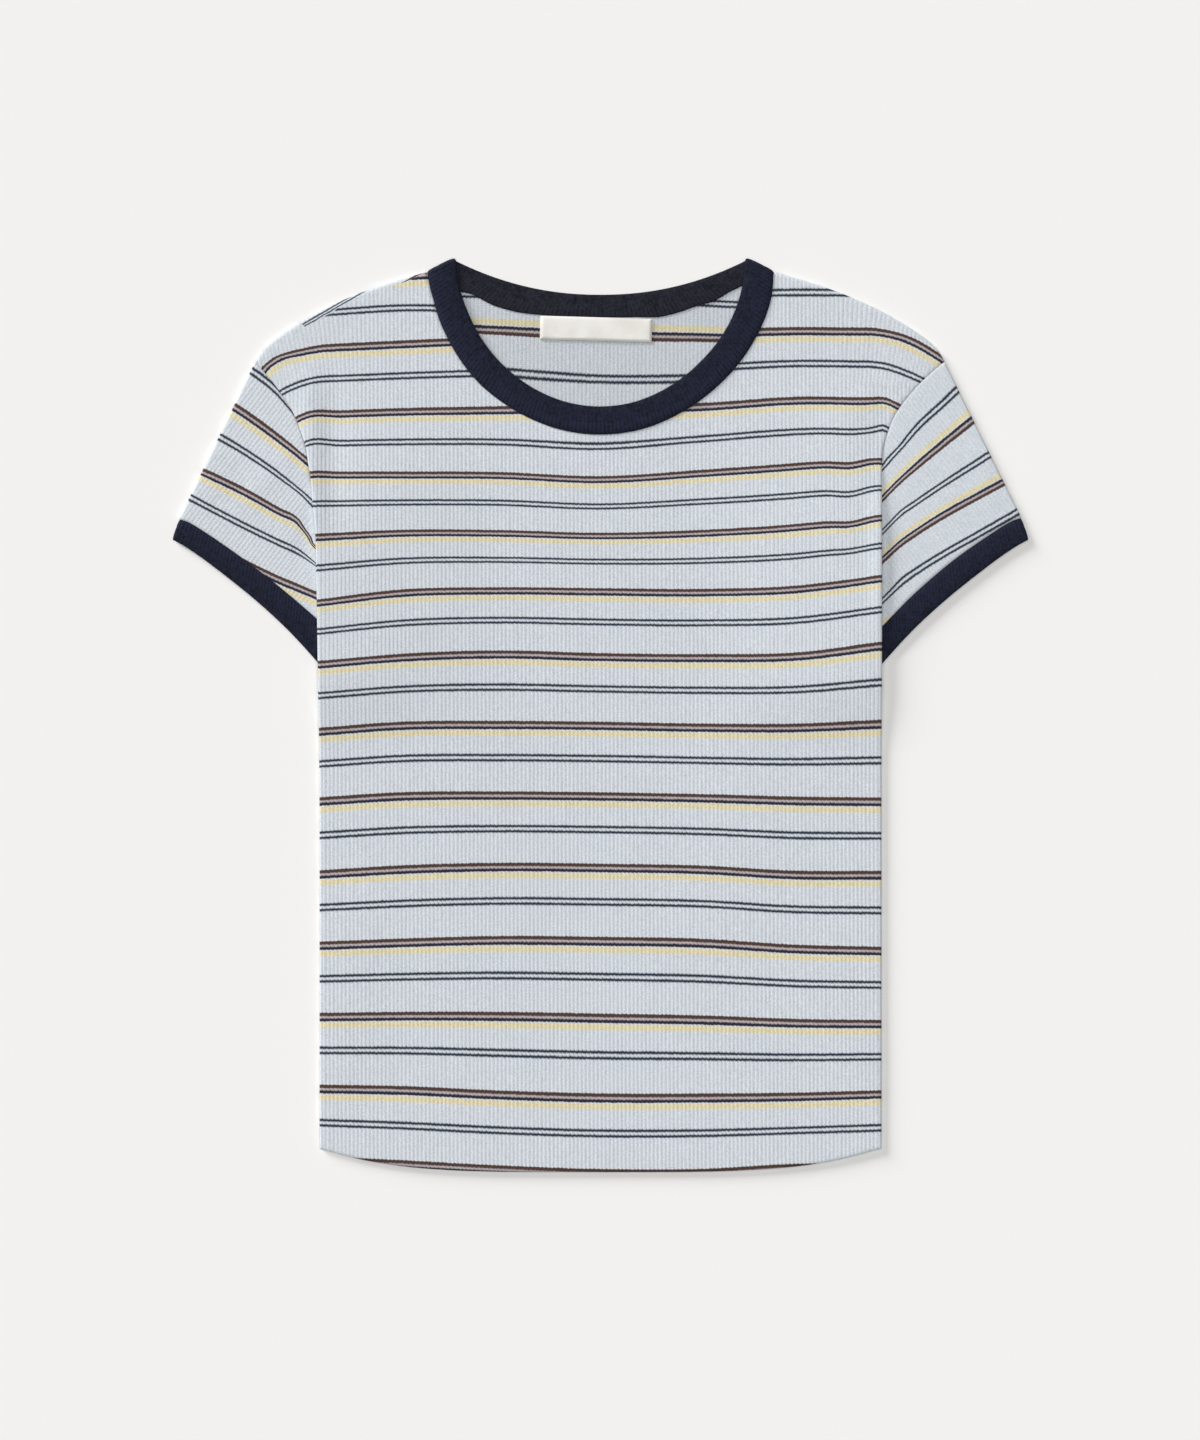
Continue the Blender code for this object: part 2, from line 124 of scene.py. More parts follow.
CUFF_SEAM = (
    (151.0, 41.5), (158.0, 48.7), (175.6, 66.6), (196.4, 84.6), (215.0, 98.0), (229.0, 107.0),
    (236.2, 109.8),
)
CUFF_FREE = (
    (151.0, 21.5), (158.5, 30.8), (175.0, 48.7), (194.6, 66.6), (217.3, 84.6), (230.6, 94.0),
    (239.6, 99.2),
)
# How far a cuff's two edges stray away from the sleeve
CUFF_SEAM_STRAY = {
    "right": ((0, -2.0), (12, -3.0), (18, -3.3), (33, -1.3), (50, 0.0), (100, 0.0)),
    "left": ((0, -0.8), (100, -0.8)),
}
CUFF_FREE_STRAY = 0.85

SLEEVE_RIB_SLANT = math.radians(37.0)
SLEEVE_FOLD_ROUND = 1.0
TUCK = 6.5                  # how far a sleeve's inner fold lies under the body, from TUCK_UP down
TUCK_UP = 118.0
LIFT = 3.2                  # how high that lifts the body's side
LIFT_OUT = (50.0, 150.0)    # a longer slope than the CAD model's, as soft cloth has
LIFT_UP = (-24.0, 24.0, 98.0, 198.0)
RIB_FADE_OUT = (1.2, 4.5)   # where a sleeve's ribs fade in, outside the body's edge

LABEL_SIZE = (62.7, 13.4, 0.6)
LABEL_PLACE = (-2.5, 216.2)

CURVE_STEPS = 8
LINE_STEP = 0.3             # how finely a line is sampled to find distances to it
HEM_STEPS = 49
NECK_STEPS = 96

# ---------------------------------------------------------------- sizes of the dressed cloth

RIB_POINTS = 6              # points across one rib, enough for a round rib
RIB_SEED = 3
RIB_POWER = 0.7             # roundness of a rib's profile
RIB_STRIDE = 7.31           # how far apart neighbouring ribs read the noise that varies them
RIB_GRAINS = 60.0           # grains of that noise to a metre along a rib
GROOVE_GRAIN = 9.0          # length of one grain of the noise in the grooves' shade
RIB_EDGE_FADE = 1.2         # how far in from the cloth's edge its ribs reach their full height
ROW_STEP = 5.0              # points along a rib
WINDOW_ROW_STEP = 4.0
END_ROWS = (0.4, 1.0, 2.0)  # extra points along a rib beside the cloth's edge
LEAST_ROW = 0.8             # the shortest step along a rib
GRID_CLEARANCE = 1.5        # how far an even grid stays off the cloth's edge
UNDERSIDE_STEP = 12.0
FOLD_POINTS = 40            # points along a sleeve's fold or a cuff's hidden half
FOLD_TURNS = (45, 90, 135)  # degrees round a sleeve's fold where it has a line of points
EDGE_ROUND = (1.3, 0.55)    # how far in from its edge the cloth rounds off, and how much
BACK_EDGE_SHARE = 0.6       # the back's edge and the label's round off by these shares of it
LABEL_EDGE_SHARE = 0.5
NECK_WINDOW = (106.0, 150.0)   # half width and lowest point of what shows of the back's inside
WINDOW_FADE = 4.0
SEWN_GAP = 0.06             # what is left of the CAD model's gap where pieces are sewn
BACK_FACE = 1.0             # groove level of the back's inside, so that its ribs clear the label
LINING_SHARE = 0.8          # how much of the front's ridges its inside follows
PAST_BODY = (-0.3, 1.4)     # where a sleeve's waves begin, outside the body's edge
# A sleeve's pulled open grooves also get less painted shade and less stripe step.
SLEEVE_STRETCH = 0.35       # how much a sleeve's grooves are pulled open
WHOLE_REPEATS = 20.0        # added where a table counts repeats below 0
# By the shoulders the front's ribs fan out: from where to where, above what height, how much
FAN_OUT = (125.0, 190.0)
FAN_UP = 185.0
FAN = 0.22
BAND_UNEVENNESS = 0.4
BAND_RIBS_FROM = (0.02, 0.15)  # the part of a band's profile, across and up, that has ribs
BAND_RIB_FALL = 0.7         # how much lower its ribs are at the folded edge, as a share
BAND_BACK_RIBS = 0.6        # height of the ribs at the back of the neck, as a share
LABEL_CORNER = 0.6
LABEL_GRID = 1.4
LABEL_HUMP = (0.15, 1.5)    # height of the label's waves, and half waves in its half width
LABEL_FOLD = (0.05, 7.0, 5.5)  # height of its folded ends, and how far in from the end they step

# ---------------------------------------------------------------- where the stripes run

# One repeat of the stripes runs down from a brown line: navy, yellow, then two thin lines.
# Each row gives a place in the repeats and its height at the columns' distances from the middle.
STRIPES = {
    "front": (
        (-153.5, -112.5, -56.5, -0.5, 55.5, 111.5, 154.5),
        (
            (0.0, 244.0, 247.0, 250.5, 252.5, 255.5, 258.0, 257.0),
            (0.508, 225.2, 227.8, 226.5, 230.0, 234.9, 236.4, 236.1),
            (1.0, 207.0, 209.0, 211.5, 213.5, 215.0, 216.5, 216.0),
            (2.0, 169.6, 171.1, 172.2, 173.5, 174.0, 177.5, 177.0),
            (2.508, 151.7, 152.6, 152.6, 150.1, 154.3, 158.4, 159.2),
            (3.0, 135.6, 135.6, 135.4, 133.1, 136.5, 140.5, 143.8),
            (3.508, 118.1, 118.7, 118.7, 116.6, 119.3, 122.8, 127.1),
            (4.0, 101.0, 103.0, 103.0, 101.5, 103.0, 106.5, 111.5),
            (5.0, 64.5, 69.5, 71.0, 70.5, 70.0, 72.0, 77.5),
            (6.0, 30.0, 33.5, 35.5, 34.0, 33.5, 34.5, 40.0),
            (7.0, -7.5, -4.5, -4.0, -4.5, -5.5, -5.5, -3.5),
            (8.0, -46.5, -44.0, -43.5, -44.0, -45.0, -46.5, -47.0),
            (9.0, -87.5, -85.0, -83.5, -84.0, -85.0, -88.0, -88.0),
            (10.0, -127.5, -126.0, -124.5, -125.0, -126.0, -129.5, -130.5),
            (11.0, -167.5, -167.0, -167.0, -168.0, -169.0, -171.0, -171.5),
            (12.0, -207.8, -208.5, -211.1, -212.8, -212.8, -212.2, -210.9),
            (12.508, -228.6, -230.1, -232.8, -234.5, -234.4, -232.8, -231.3),
            (13.0, -248.0, -250.0, -253.0, -255.0, -255.0, -252.0, -252.5),
            (14.0, -290.0, -291.0, -293.0, -295.0, -295.0, -292.0, -292.0),
        ),
    ),
    "back": (
        (-67.5, -0.5, 67.0),
        (
            (1.0, 254.0, 252.0, 249.0),
            (0.472, 234.6, 232.9, 229.3),
            (0.0, 214.3, 210.8, 209.7),
            (-0.455, 195.7, 190.4, 190.9),
            (-0.82, 173.5, 172.5, 172.0),
            (-1.0, 164.0, 163.0, 163.0),
            (-12.0, -253.0, -253.0, -253.0),
        ),
    ),
    "sleeve_right": (
        (-224.5, -202.0, -179.5, -169.0, -161.0),
        (
            (0.0, 242.0, 225.0, 207.0, 194.0, 181.0),
            (0.472, 215.5, 199.0, 181.0, 167.0, 154.0),
            (1.0, 186.0, 172.3, 156.1, 148.0, 141.0),
            (1.472, 163.5, 150.5, 135.0, 126.5, 119.5),
            (2.0, 138.3, 127.9, 115.3, 109.5, 96.0),
            (2.472, 120.5, 108.5, 97.5, 92.6, 87.5),
            (3.0, 98.0, 87.8, 77.0, 72.7, 69.4),
            (4.0, 58.0, 48.0, 37.0, 32.0, 29.0),
        ),
    ),
    "sleeve_left": (
        (160.0, 168.0, 176.5, 193.5, 210.5, 227.0),
        (
            (1.069, 172.0, 182.0, 193.0, 212.0, 230.0, 248.0),
            (0.545, 142.4, 151.4, 161.8, 178.0, 194.5, 210.0),
            (0.069, 124.2, 132.3, 139.9, 154.2, 168.2, 182.6),
            (-0.455, 106.0, 114.3, 120.2, 131.7, 142.6, 153.6),
            (-0.931, 90.0, 97.2, 103.2, 113.9, 123.2, 132.0),
            (-1.455, 67.4, 76.1, 82.2, 92.7, 102.3, 111.9),
            (-1.931, 49.7, 52.4, 60.0, 72.0, 81.5, 90.0),
            (-2.931, 12.0, 14.0, 21.0, 33.0, 43.0, 51.0),
        ),
    ),
}
# Near an armhole the front's stripes turn down: from this far out, over this distance, by this
# much, and how suddenly
ARMHOLE_BENDS = {"right": (150.0, 38.8, 12.9, 2.2), "left": (149.0, 35.5, 11.0, 1.75)}
ARMHOLE_BEND_UP = (105.0, 150.0)     # the turn sets in between these heights
# Where the cloth is pushed together beside an armhole, its stripes sag or rise a little:
# place, reach across and up, and how far they sink
STRIPE_SAGS = (
    (139.5, 124.0, 10.0, 32.0, 2.2),
    (159.5, 172.0, 6.5, 16.0, -1.6),
    (-161.0, 157.0, 9.0, 24.0, -1.9),
    (-166.0, 196.0, 8.0, 12.0, 0.6),
    (-184.0, 198.5, 17.0, 9.0, -3.3),
    (158.0, 161.5, 4.5, 8.0, -1.5),
    (172.0, 210.0, 20.0, 9.0, -1.1),
)

# The shoulder seam on the wearer's right, where the back rolls over to the front
ROLLED_SEAM = (
    (-200.0, 216.0), (-172.0, 223.0), (-165.5, 217.3), (-152.0, 224.6), (-142.5, 230.7),
    (-109.5, 242.5), (-98.0, 247.5),
)
ROLLED_SLOPE = 0.59
NOT_ROLLED = -10.0    # stands for "far below the seam" beyond the shoulder
# Heights of the rolled stripes where they would meet the middle, and their place in a repeat
ROLLED_STRIPES = (
    (300.2, 1.2), (307.4, 1.0), (314.3, 0.58), (315.3, 0.545), (316.9, 0.472), (317.8, 0.44),
    (333.2, 0.28),
)


# ---------------------------------------------------------------- curves

def between(low, high, value):
    """Return how far value lies from low to high, as 0 to 1."""
    return min(1.0, max(0.0, (value - low) / (high - low)))


def soft_step(low, high, values):
    """Return 0 below low, 1 above high and an even slope between, for an array."""
    share = np.clip((values - low) / (high - low), 0.0, 1.0)
    return share * share * (3.0 - 2.0 * share)


def smooth_curve(rows, steps=CURVE_STEPS):
    """Return points of a smooth curve that passes through every row."""
    rows = [Vector(row) for row in rows]
    ends = [2 * rows[0] - rows[1]] + rows + [2 * rows[-1] - rows[-2]]
    points = []
    for before, start, end, after in zip(ends, ends[1:], ends[2:], ends[3:]):
        for step in range(steps):
            t = step / steps
            points.append(0.5 * (2 * start + (end - before) * t
                                 + (2 * before - 5 * start + 4 * end - after) * t ** 2
                                 + (3 * start - before - 3 * end + after) * t ** 3))
    return points + [rows[-1]]


def lengths_along(points):
    """Return the distance from the first point to each point, along the line."""
    total = [0.0]
    for start, end in zip(points, points[1:]):
        total.append(total[-1] + (end - start).length)
    return total


def evenly_spaced(points, count):
    """Return count points at even distances along a line."""
    along = lengths_along(points)
    result = []
    span = 0
    for number in range(count):
        target = along[-1] * number / (count - 1)
        while span < len(along) - 2 and along[span + 1] < target:
            span += 1
        share = between(along[span], along[span + 1], target)
        result.append(points[span].lerp(points[span + 1], share))
    return result


def moved_right(points, distance):
    """Return the line moved to its own right-hand side, by one distance or one for each point."""
    moved = []
    distances = np.broadcast_to(distance, len(points)).tolist()
    for number, (point, distance) in enumerate(zip(points, distances)):
        before = points[max(0, number - 1)]
        after = points[min(len(points) - 1, number + 1)]
        along = (after - before).normalized()
        moved.append(point + Vector((along.y, -along.x)) * distance)
    return moved


def strayed(points, table, way=1):
    """Return a line moved sideways by what a table gives for percents of its length."""
    percents = np.linspace(0.0, 100.0, len(points))
    return moved_right(points, way * np.interp(percents, *zip(*table)))


def trimmed(points, length):
    """Return the line without a length at each of its ends."""
    along = lengths_along(points)
    ends = []
    for target in (length, along[-1] - length):
        span = max(i for i in range(len(along) - 1) if along[i] <= target)
        share = between(along[span], along[span + 1], target)
        ends.append(points[span].lerp(points[span + 1], share))
    inside = [p for p, at in zip(points, along) if length < at < along[-1] - length]
    return [ends[0]] + inside + [ends[1]]


def neck_scoop(half, top, bottom, power):
    """Return the front neck curve from the left shoulder fold to the right one."""
    points = []
    for step in range(NECK_STEPS + 1):
        angle = math.pi * step / NECK_STEPS
        out = half * abs(math.cos(angle)) ** (2 / power)
        down = (top - bottom) * math.sin(angle) ** (2 / power)
        points.append(Vector((math.copysign(out, math.cos(angle)), top - down)))
    return points


def neck_dip(half, top, bottom, power):
    """Return the back neck curve from the right shoulder fold to the left one."""
    points = []
    for step in range(NECK_STEPS + 1):
        out = half * (2 * step / NECK_STEPS - 1)
        points.append(Vector((out, bottom + (top - bottom) * abs(out / half) ** power)))
    return points


def side_line(table, side):
    """Return a smooth line along the body's side from one of its tables."""
    column = BODY_COLUMNS.index(side)
    return smooth_curve([(row[column], row[0]) for row in table])


def half_width(up, side):
    """Return the body's half width at a height below the armhole."""
    column = BODY_COLUMNS.index(side)
    return float(np.interp(up, [row[0] for row in SIDE_EDGE], [row[column] for row in SIDE_EDGE]))


def mirrored(points, side):
    """Return flat points that were drawn on the left side as they lie on the given side."""
    return [Vector((SIDES[side] * point.x, point.y)) for point in points]


def extent(values):
    """Return how far apart the least and the greatest value are."""
    values = list(values)
    return max(values) - min(values)


def distance_to(line, x, y):
    """Return each point's distance from a line, in millimetres."""
    count = max(2, int(lengths_along(line)[-1] / LINE_STEP))
    tree = KDTree(count)
    for number, point in enumerate(evenly_spaced(line, count)):
        tree.insert((point.x, point.y, 0.0), number)
    tree.balance()
    return np.array([tree.find((px, py, 0.0))[2] for px, py in zip(x, y)])


def inside(loop, x, y):
    """Return which points lie inside a closed outline."""
    result = np.zeros(len(x), bool)
    for start, end in zip(loop, loop[1:] + loop[:1]):
        if start.y == end.y:
            continue
        crosses = (start.y > y) != (end.y > y)
        result ^= crosses & (x < start.x + (end.x - start.x) * (y - start.y) / (end.y - start.y))
    return result


# ---------------------------------------------------------------- stripes over the cloth

def smooth_row(columns, heights, x):
    """Read one row of a stripe table at x, by a smooth curve through its columns."""
    columns = np.array(columns)
    heights = np.array(heights)
    slopes = np.gradient(heights, columns)
    held = np.clip(x, columns[0], columns[-1])
    span = np.clip(np.searchsorted(columns, held) - 1, 0, len(columns) - 2)
    width = columns[span + 1] - columns[span]
    t = (held - columns[span]) / width
    curve = ((2 * t ** 3 - 3 * t ** 2 + 1) * heights[span]
             + (t ** 3 - 2 * t ** 2 + t) * width * slopes[span]
             + (3 * t ** 2 - 2 * t ** 3) * heights[span + 1]
             + (t ** 3 - t ** 2) * width * slopes[span + 1])
    beyond = np.where(x < held, slopes[0], slopes[-1])
    return curve + beyond * (x - held)


def stripe_repeats(name, x, y):
    """Return how many repeats of the stripes lie above each point of a piece."""
    columns, rows = STRIPES[name]
    repeats = [row[0] for row in rows]
    lines = [smooth_row(columns, row[1:], x) for row in rows]
    result = np.full(len(x), repeats[0])
    for number in range(len(rows) - 1):
        share = (lines[number] - y) / (lines[number] - lines[number + 1])
        value = repeats[number] + (repeats[number + 1] - repeats[number]) * share
        result = np.where((share >= 0) | (number == 0), value, result)
    return result


def armhole_bend(x, y):
    """Return how far the front's stripes have turned down beside the armholes."""
    drop = np.zeros(len(x))
    for side, sign in SIDES.items():
        start, reach, most, power = ARMHOLE_BENDS[side]
        drop += most * (np.maximum(0.0, sign * x - start) / reach) ** power
    low, high = ARMHOLE_BEND_UP
    drop *= np.clip((y - low) / (high - low), 0.0, 1.0)
    for out, up, wide, high, sink in STRIPE_SAGS:
        drop += sink * np.exp(-((x - out) / wide) ** 2 - ((y - up) / high) ** 2)
    return drop


def above_rolled_seam(x, y):
    """Return how far each point lies above the rolled shoulder seam."""
    above = y - np.interp(x, *zip(*ROLLED_SEAM))
    return np.where(x < FOLD_SEAM[0] * SIDES["right"], above, NOT_ROLLED)


# ---------------------------------------------------------------- meshes

class Cloth:
    """Points and faces of one piece of cloth, in millimetres."""

    def __init__(self):
        self.points = []
        self.ribbed = []
        self.faces = []

    def add(self, points, ribbed=0.0):
        """Add points, say whether they carry ribs, and return their numbers."""
        first = len(self.points)
        self.points.extend(tuple(point) for point in points)
        self.ribbed.extend([ribbed] * (len(self.points) - first))
        return list(range(first, len(self.points)))

    def zip(self, near, far):
        """Close the strip between two lines of points that may differ in number."""
        near_at = self.shares(near)
        far_at = self.shares(far)
        i = 0
        j = 0
        while i < len(near) - 1 or j < len(far) - 1:
            near_next = near_at[i + 1] if i < len(near) - 1 else math.inf
            far_next = far_at[j + 1] if j < len(far) - 1 else math.inf
            if near_next <= far_next:
                self.faces.append((near[i], near[i + 1], far[j]))
                i += 1
            else:
                self.faces.append((near[i], far[j + 1], far[j]))
                j += 1

    def shares(self, numbers):
        """Return how far along its line each numbered point lies, from 0 to 1."""
        along = lengths_along([Vector(self.points[n][:2]) for n in numbers])
        return [length / along[-1] for length in along]

    def skin(self, runs, chords, height, ribbed=0.0, inner=()):
        """Fill a flat outline, keep its chords as edges, and return its runs of numbers."""
        loop = [point for run in runs for point in run[:-1]]
        edges = [(n, (n + 1) % len(loop)) for n in range(len(loop))]
        flat = list(loop)
        for start, between_ends, end in chords:
            numbers = [start] + list(range(len(flat), len(flat) + len(between_ends))) + [end]
            flat.extend(between_ends)
            edges.extend(zip(numbers, numbers[1:]))
        flat.extend(inner)
        found, _, faces, sources, _, _ = delaunay_2d_cdt(flat, edges, [], 1, 1e-6)
        x = np.array([point.x for point in found])
        y = np.array([point.y for point in found])
        numbers = self.add(zip(x, y, height(x, y)), ribbed)
        self.faces.extend(tuple(numbers[n] for n in face) for face in faces)
        place = {source: numbers[n] for n, group in enumerate(sources) for source in group}
        first = 0
        run_numbers = []
        for run in runs:
            last = first + len(run) - 1
            run_numbers.append([place[n % len(loop)] for n in range(first, last + 1)])
            first = last
        return run_numbers

    def xy(self):
        """Return the points' x and y as two arrays."""
        points = np.array(self.points)
        return points[:, 0], points[:, 1]


def rib_directions(slant):
    """Return the directions across and along ribs that lean by slant from upright."""
    across = Vector((math.cos(slant), math.sin(slant)))
    return across, Vector((-across.y, across.x))


def rib_lines(runs, slant, points_along):
    """Cut an outline's runs where fine lines along the ribs cross them.

    Returns the runs with a point at each crossing, and the chords that join the crossings.
    """
    spacing = RIB_PITCH / RIB_POINTS
    across, along = rib_directions(slant)
    cut = []
    crossings = {}
    count = 0
    for run in runs:
        points = [run[0]]
        for start, end in zip(run, run[1:]):
            low = start.dot(across) / spacing
            high = end.dot(across) / spacing
            lines = range(math.ceil(min(low, high)), math.floor(max(low, high)) + 1)
            for line in sorted(lines, reverse=high < low):
                crossings.setdefault(line, []).append(count + len(points))
                points.append(start.lerp(end, (line - low) / (high - low)))
            points.append(end)
        cut.append(points)
        count += len(points) - 1
    loop = [point for run in cut for point in run[:-1]]
    chords = []
    for line, numbers in crossings.items():
        numbers = sorted((n % len(loop) for n in numbers), key=lambda n: loop[n].dot(along))
        for a, b in zip(numbers[::2], numbers[1::2]):
            low = loop[a].dot(along)
            high = loop[b].dot(along)
            inner = [loop[a].lerp(loop[b], (up - low) / (high - low))
                     for up in points_along(line * spacing, low, high)]
            chords.append((a, inner, b))
    return cut, chords


def rows_along(_out, low, high, step=ROW_STEP):
    """Return where a rib line gets its points: finely at its ends and evenly between."""
    ends = [low + end for end in END_ROWS] + [high - end for end in END_ROWS]
    clear = END_ROWS[-1] + LEAST_ROW
    rows = [row * step for row in range(math.ceil((low + clear) / step),
                                        math.floor((high - clear) / step) + 1)]
    if high - low < 2 * clear:
        return [(low + high) / 2] if high - low > LEAST_ROW else []
    return sorted(ends + rows)


def even_grid(loop, step):
    """Return points that lie evenly inside an outline."""
    xs = np.arange(min(p.x for p in loop) + step / 2, max(p.x for p in loop), step)
    ys = np.arange(min(p.y for p in loop) + step / 2, max(p.y for p in loop), step)
    x, y = (grid.ravel() for grid in np.meshgrid(xs, ys))
    kept = inside(loop, x, y)
    x, y = x[kept], y[kept]
    clear = distance_to(loop + loop[:1], x, y) > GRID_CLEARANCE
    return [Vector(point) for point in zip(x[clear].tolist(), y[clear].tolist())]


# ---------------------------------------------------------------- nodes and materials

def linear(hex_colour):
    """Turn an sRGB hex colour into linear red, green and blue."""
    result = []
    for start in (1, 3, 5):
        value = int(hex_colour[start:start + 2], 16) / 255
        result.append(value / 12.92 if value <= 0.04045 else ((value + 0.055) / 1.055) ** 2.4)
    return tuple(result)


MATH = "ShaderNodeMath"
VECTOR_MATH = "ShaderNodeVectorMath"


def add_node(tree, kind, inputs=(), **settings):
    """Add a node with its settings, and with a value or a link for each input given.

    The inputs are given in their order or by name. A node stands for its first output.
    """
    node = tree.nodes.new(kind)
    for name, value in settings.items():
        setattr(node, name, value)
    for socket, value in inputs.items() if isinstance(inputs, dict) else enumerate(inputs):
        if isinstance(value, bpy.types.Node):
            value = value.outputs[0]
        if isinstance(value, bpy.types.NodeSocket):
            tree.links.new(value, node.inputs[socket])
        else:
            node.inputs[socket].default_value = value
    return node


RIB_TREE_INPUTS = {"Geometry": "Geometry", "Rib pitch": "Float", "Rib relief": "Float",
                   "Unevenness": "Float", "Seed": "Int", "Material": "Material"}


def rib_tree():
    """Build the geometry nodes that raise the ribs of the knit out of the cloth's outer face."""
    tree = bpy.data.node_groups.new("raised_ribs", "GeometryNodeTree")
    for name, kind in RIB_TREE_INPUTS.items():
        tree.interface.new_socket(name, in_out="INPUT", socket_type=f"NodeSocket{kind}")
    tree.interface.new_socket("Geometry", in_out="OUTPUT", socket_type="NodeSocketGeometry")
    given = add_node(tree, "NodeGroupInput").outputs
    across, weight = (add_node(tree, "GeometryNodeInputNamedAttribute", {"Name": name},
                               data_type="FLOAT").outputs["Attribute"]
                      for name in ("rib_across", "rib_weight"))
    ribs = add_node(tree, MATH, (across, given["Rib pitch"]), operation="DIVIDE")
    turn = add_node(tree, MATH, (ribs, math.pi), operation="MULTIPLY")
    wave = add_node(tree, MATH, (turn,), operation="COSINE")
    crest = add_node(tree, MATH, (wave,), operation="ABSOLUTE")
    profile = add_node(tree, MATH, (crest, RIB_POWER), operation="POWER")
    # Each rib stands a little higher or lower than its neighbours, and not evenly along itself.
    place = add_node(tree, "GeometryNodeInputPosition")
    parts = add_node(tree, "ShaderNodeSeparateXYZ", (place,)).outputs
    number = add_node(tree, MATH, (ribs,), operation="ROUND")
    stride = add_node(tree, MATH, (number, RIB_STRIDE), operation="MULTIPLY")
    grain = add_node(tree, MATH, (parts[1], RIB_GRAINS), operation="MULTIPLY")
    spot = add_node(tree, "ShaderNodeCombineXYZ", (stride, grain, given["Seed"]))
    noise = add_node(tree, "ShaderNodeTexNoise", {"Vector": spot, "Scale": 1.0, "Detail": 1.0},
                     noise_dimensions="3D")
    swing = add_node(tree, MATH, (noise, 0.5), operation="SUBTRACT")
    swing = add_node(tree, MATH, (swing, given["Unevenness"]), operation="MULTIPLY")
    height = add_node(tree, MATH, (profile, swing), operation="ADD")
    height = add_node(tree, MATH, (height, given["Rib relief"]), operation="MULTIPLY")
    height = add_node(tree, MATH, (height, weight), operation="MULTIPLY")
    normal = add_node(tree, "GeometryNodeInputNormal")
    offset = add_node(tree, VECTOR_MATH, {0: normal, "Scale": height}, operation="SCALE")
    moved = add_node(tree, "GeometryNodeSetPosition",
                     {"Geometry": given["Geometry"], "Offset": offset})
    real = add_node(tree, "GeometryNodeRealizeInstances", (moved,))
    painted = add_node(tree, "GeometryNodeSetMaterial",
                       {"Geometry": real, "Material": given["Material"]})
    add_node(tree, "NodeGroupOutput", {"Geometry": painted})
    return tree


def raise_ribs(piece, pitch, relief, unevenness, material):
    """Run the rib nodes on a piece and keep their result as its plain mesh."""
    tree = bpy.data.node_groups.get("raised_ribs") or rib_tree()
    modifier = piece.modifiers.new("Ribs", "NODES")
    modifier.node_group = tree
    given = {"Rib pitch": pitch * METRES, "Rib relief": relief * METRES,
             "Unevenness": unevenness, "Seed": RIB_SEED, "Material": material}
    for item in tree.interface.items_tree:
        if item.in_out == "INPUT" and item.name in given:
            modifier[item.identifier] = given[item.name]
    graph = bpy.context.evaluated_depsgraph_get()
    mesh = bpy.data.meshes.new_from_object(piece.evaluated_get(graph),
                                           preserve_all_data_layers=True, depsgraph=graph)
    piece.modifiers.clear()
    old = piece.data
    piece.data = mesh
    bpy.data.meshes.remove(old)
    mesh.name = piece.name


def new_material(name, fields=()):
    """Make a material; return it, its empty node tree and the cloth's attributes it reads."""
    material = bpy.data.materials.new(name)
    material.use_nodes = True
    tree = material.node_tree
    tree.nodes.clear()
    read = [add_node(tree, "ShaderNodeAttribute", attribute_name=field).outputs["Fac"]
            for field in fields]
    return material, tree, read


def add_surface(tree, settings, height=None, strength=0.5, distance=0.12):
    """Finish a material: its shader and, from a height, a bump of a distance in millimetres."""
    if height is not None:
        bump = {"Height": height, "Strength": strength, "Distance": distance * METRES}
        settings = {**settings, "Normal": add_node(tree, "ShaderNodeBump", bump)}
    shader = add_node(tree, "ShaderNodeBsdfPrincipled", settings)
    add_node(tree, "ShaderNodeOutputMaterial", {"Surface": shader})


def object_noise(tree, grain, detail=2.0):
    """Add cloudy noise whose grains have a real size in millimetres."""
    place = add_node(tree, "ShaderNodeTexCoord").outputs["Object"]
    return add_node(tree, "ShaderNodeTexNoise", {"Vector": place, "Scale": 1 / (grain * METRES),
                                                 "Detail": detail})


def knit_surface(tree, across, along, pitch, stitch):
    """Return the groove mask and the bump height of a fine rib knit."""
    turn = add_node(tree, MATH, (across, math.pi / (pitch * METRES)), operation="MULTIPLY")
    wave = add_node(tree, MATH, (turn,), operation="COSINE")
    crest = add_node(tree, MATH, (wave,), operation="ABSOLUTE")
    groove = add_node(tree, MATH, (1.0, crest), operation="SUBTRACT")
    groove = add_node(tree, MATH, (groove, 2.0), operation="POWER")
    # Knit stitches are V shaped: their rows bend up on both flanks of each rib.
    bend = add_node(tree, MATH, (crest, 0.5 * stitch * METRES), operation="MULTIPLY")
    bent = add_node(tree, MATH, (along, bend), operation="ADD")
    rows = add_node(tree, MATH, (bent, 2 * math.pi / (stitch * METRES)), operation="MULTIPLY")
    rows = add_node(tree, MATH, (rows,), operation="SINE")
    rows = add_node(tree, MATH, (rows, 0.5), operation="MULTIPLY")
    fibres = add_node(tree, MATH, (object_noise(tree, 1.1), 1.2), operation="MULTIPLY")
    return groove, add_node(tree, MATH, (rows, fibres), operation="ADD")


# One repeat of the stripes: where each band starts and ends, its colour and its edges' softness
STRIPE_BANDS = (
    (-0.018, 0.028, "brown", 0.005), (0.034, 0.056, "mixed", 0.004), (0.062, 0.105, "navy", 0.007),
    (0.119, 0.192, "yellow", 0.012), (0.450, 0.488, "thin", 0.010), (0.524, 0.562, "thin", 0.010),
)
FIRST_BAND = 0.3      # where the brown line stands in the colour ramp
STRIPE_WANDER = 0.014  # how far a stripe's edge strays, in repeats


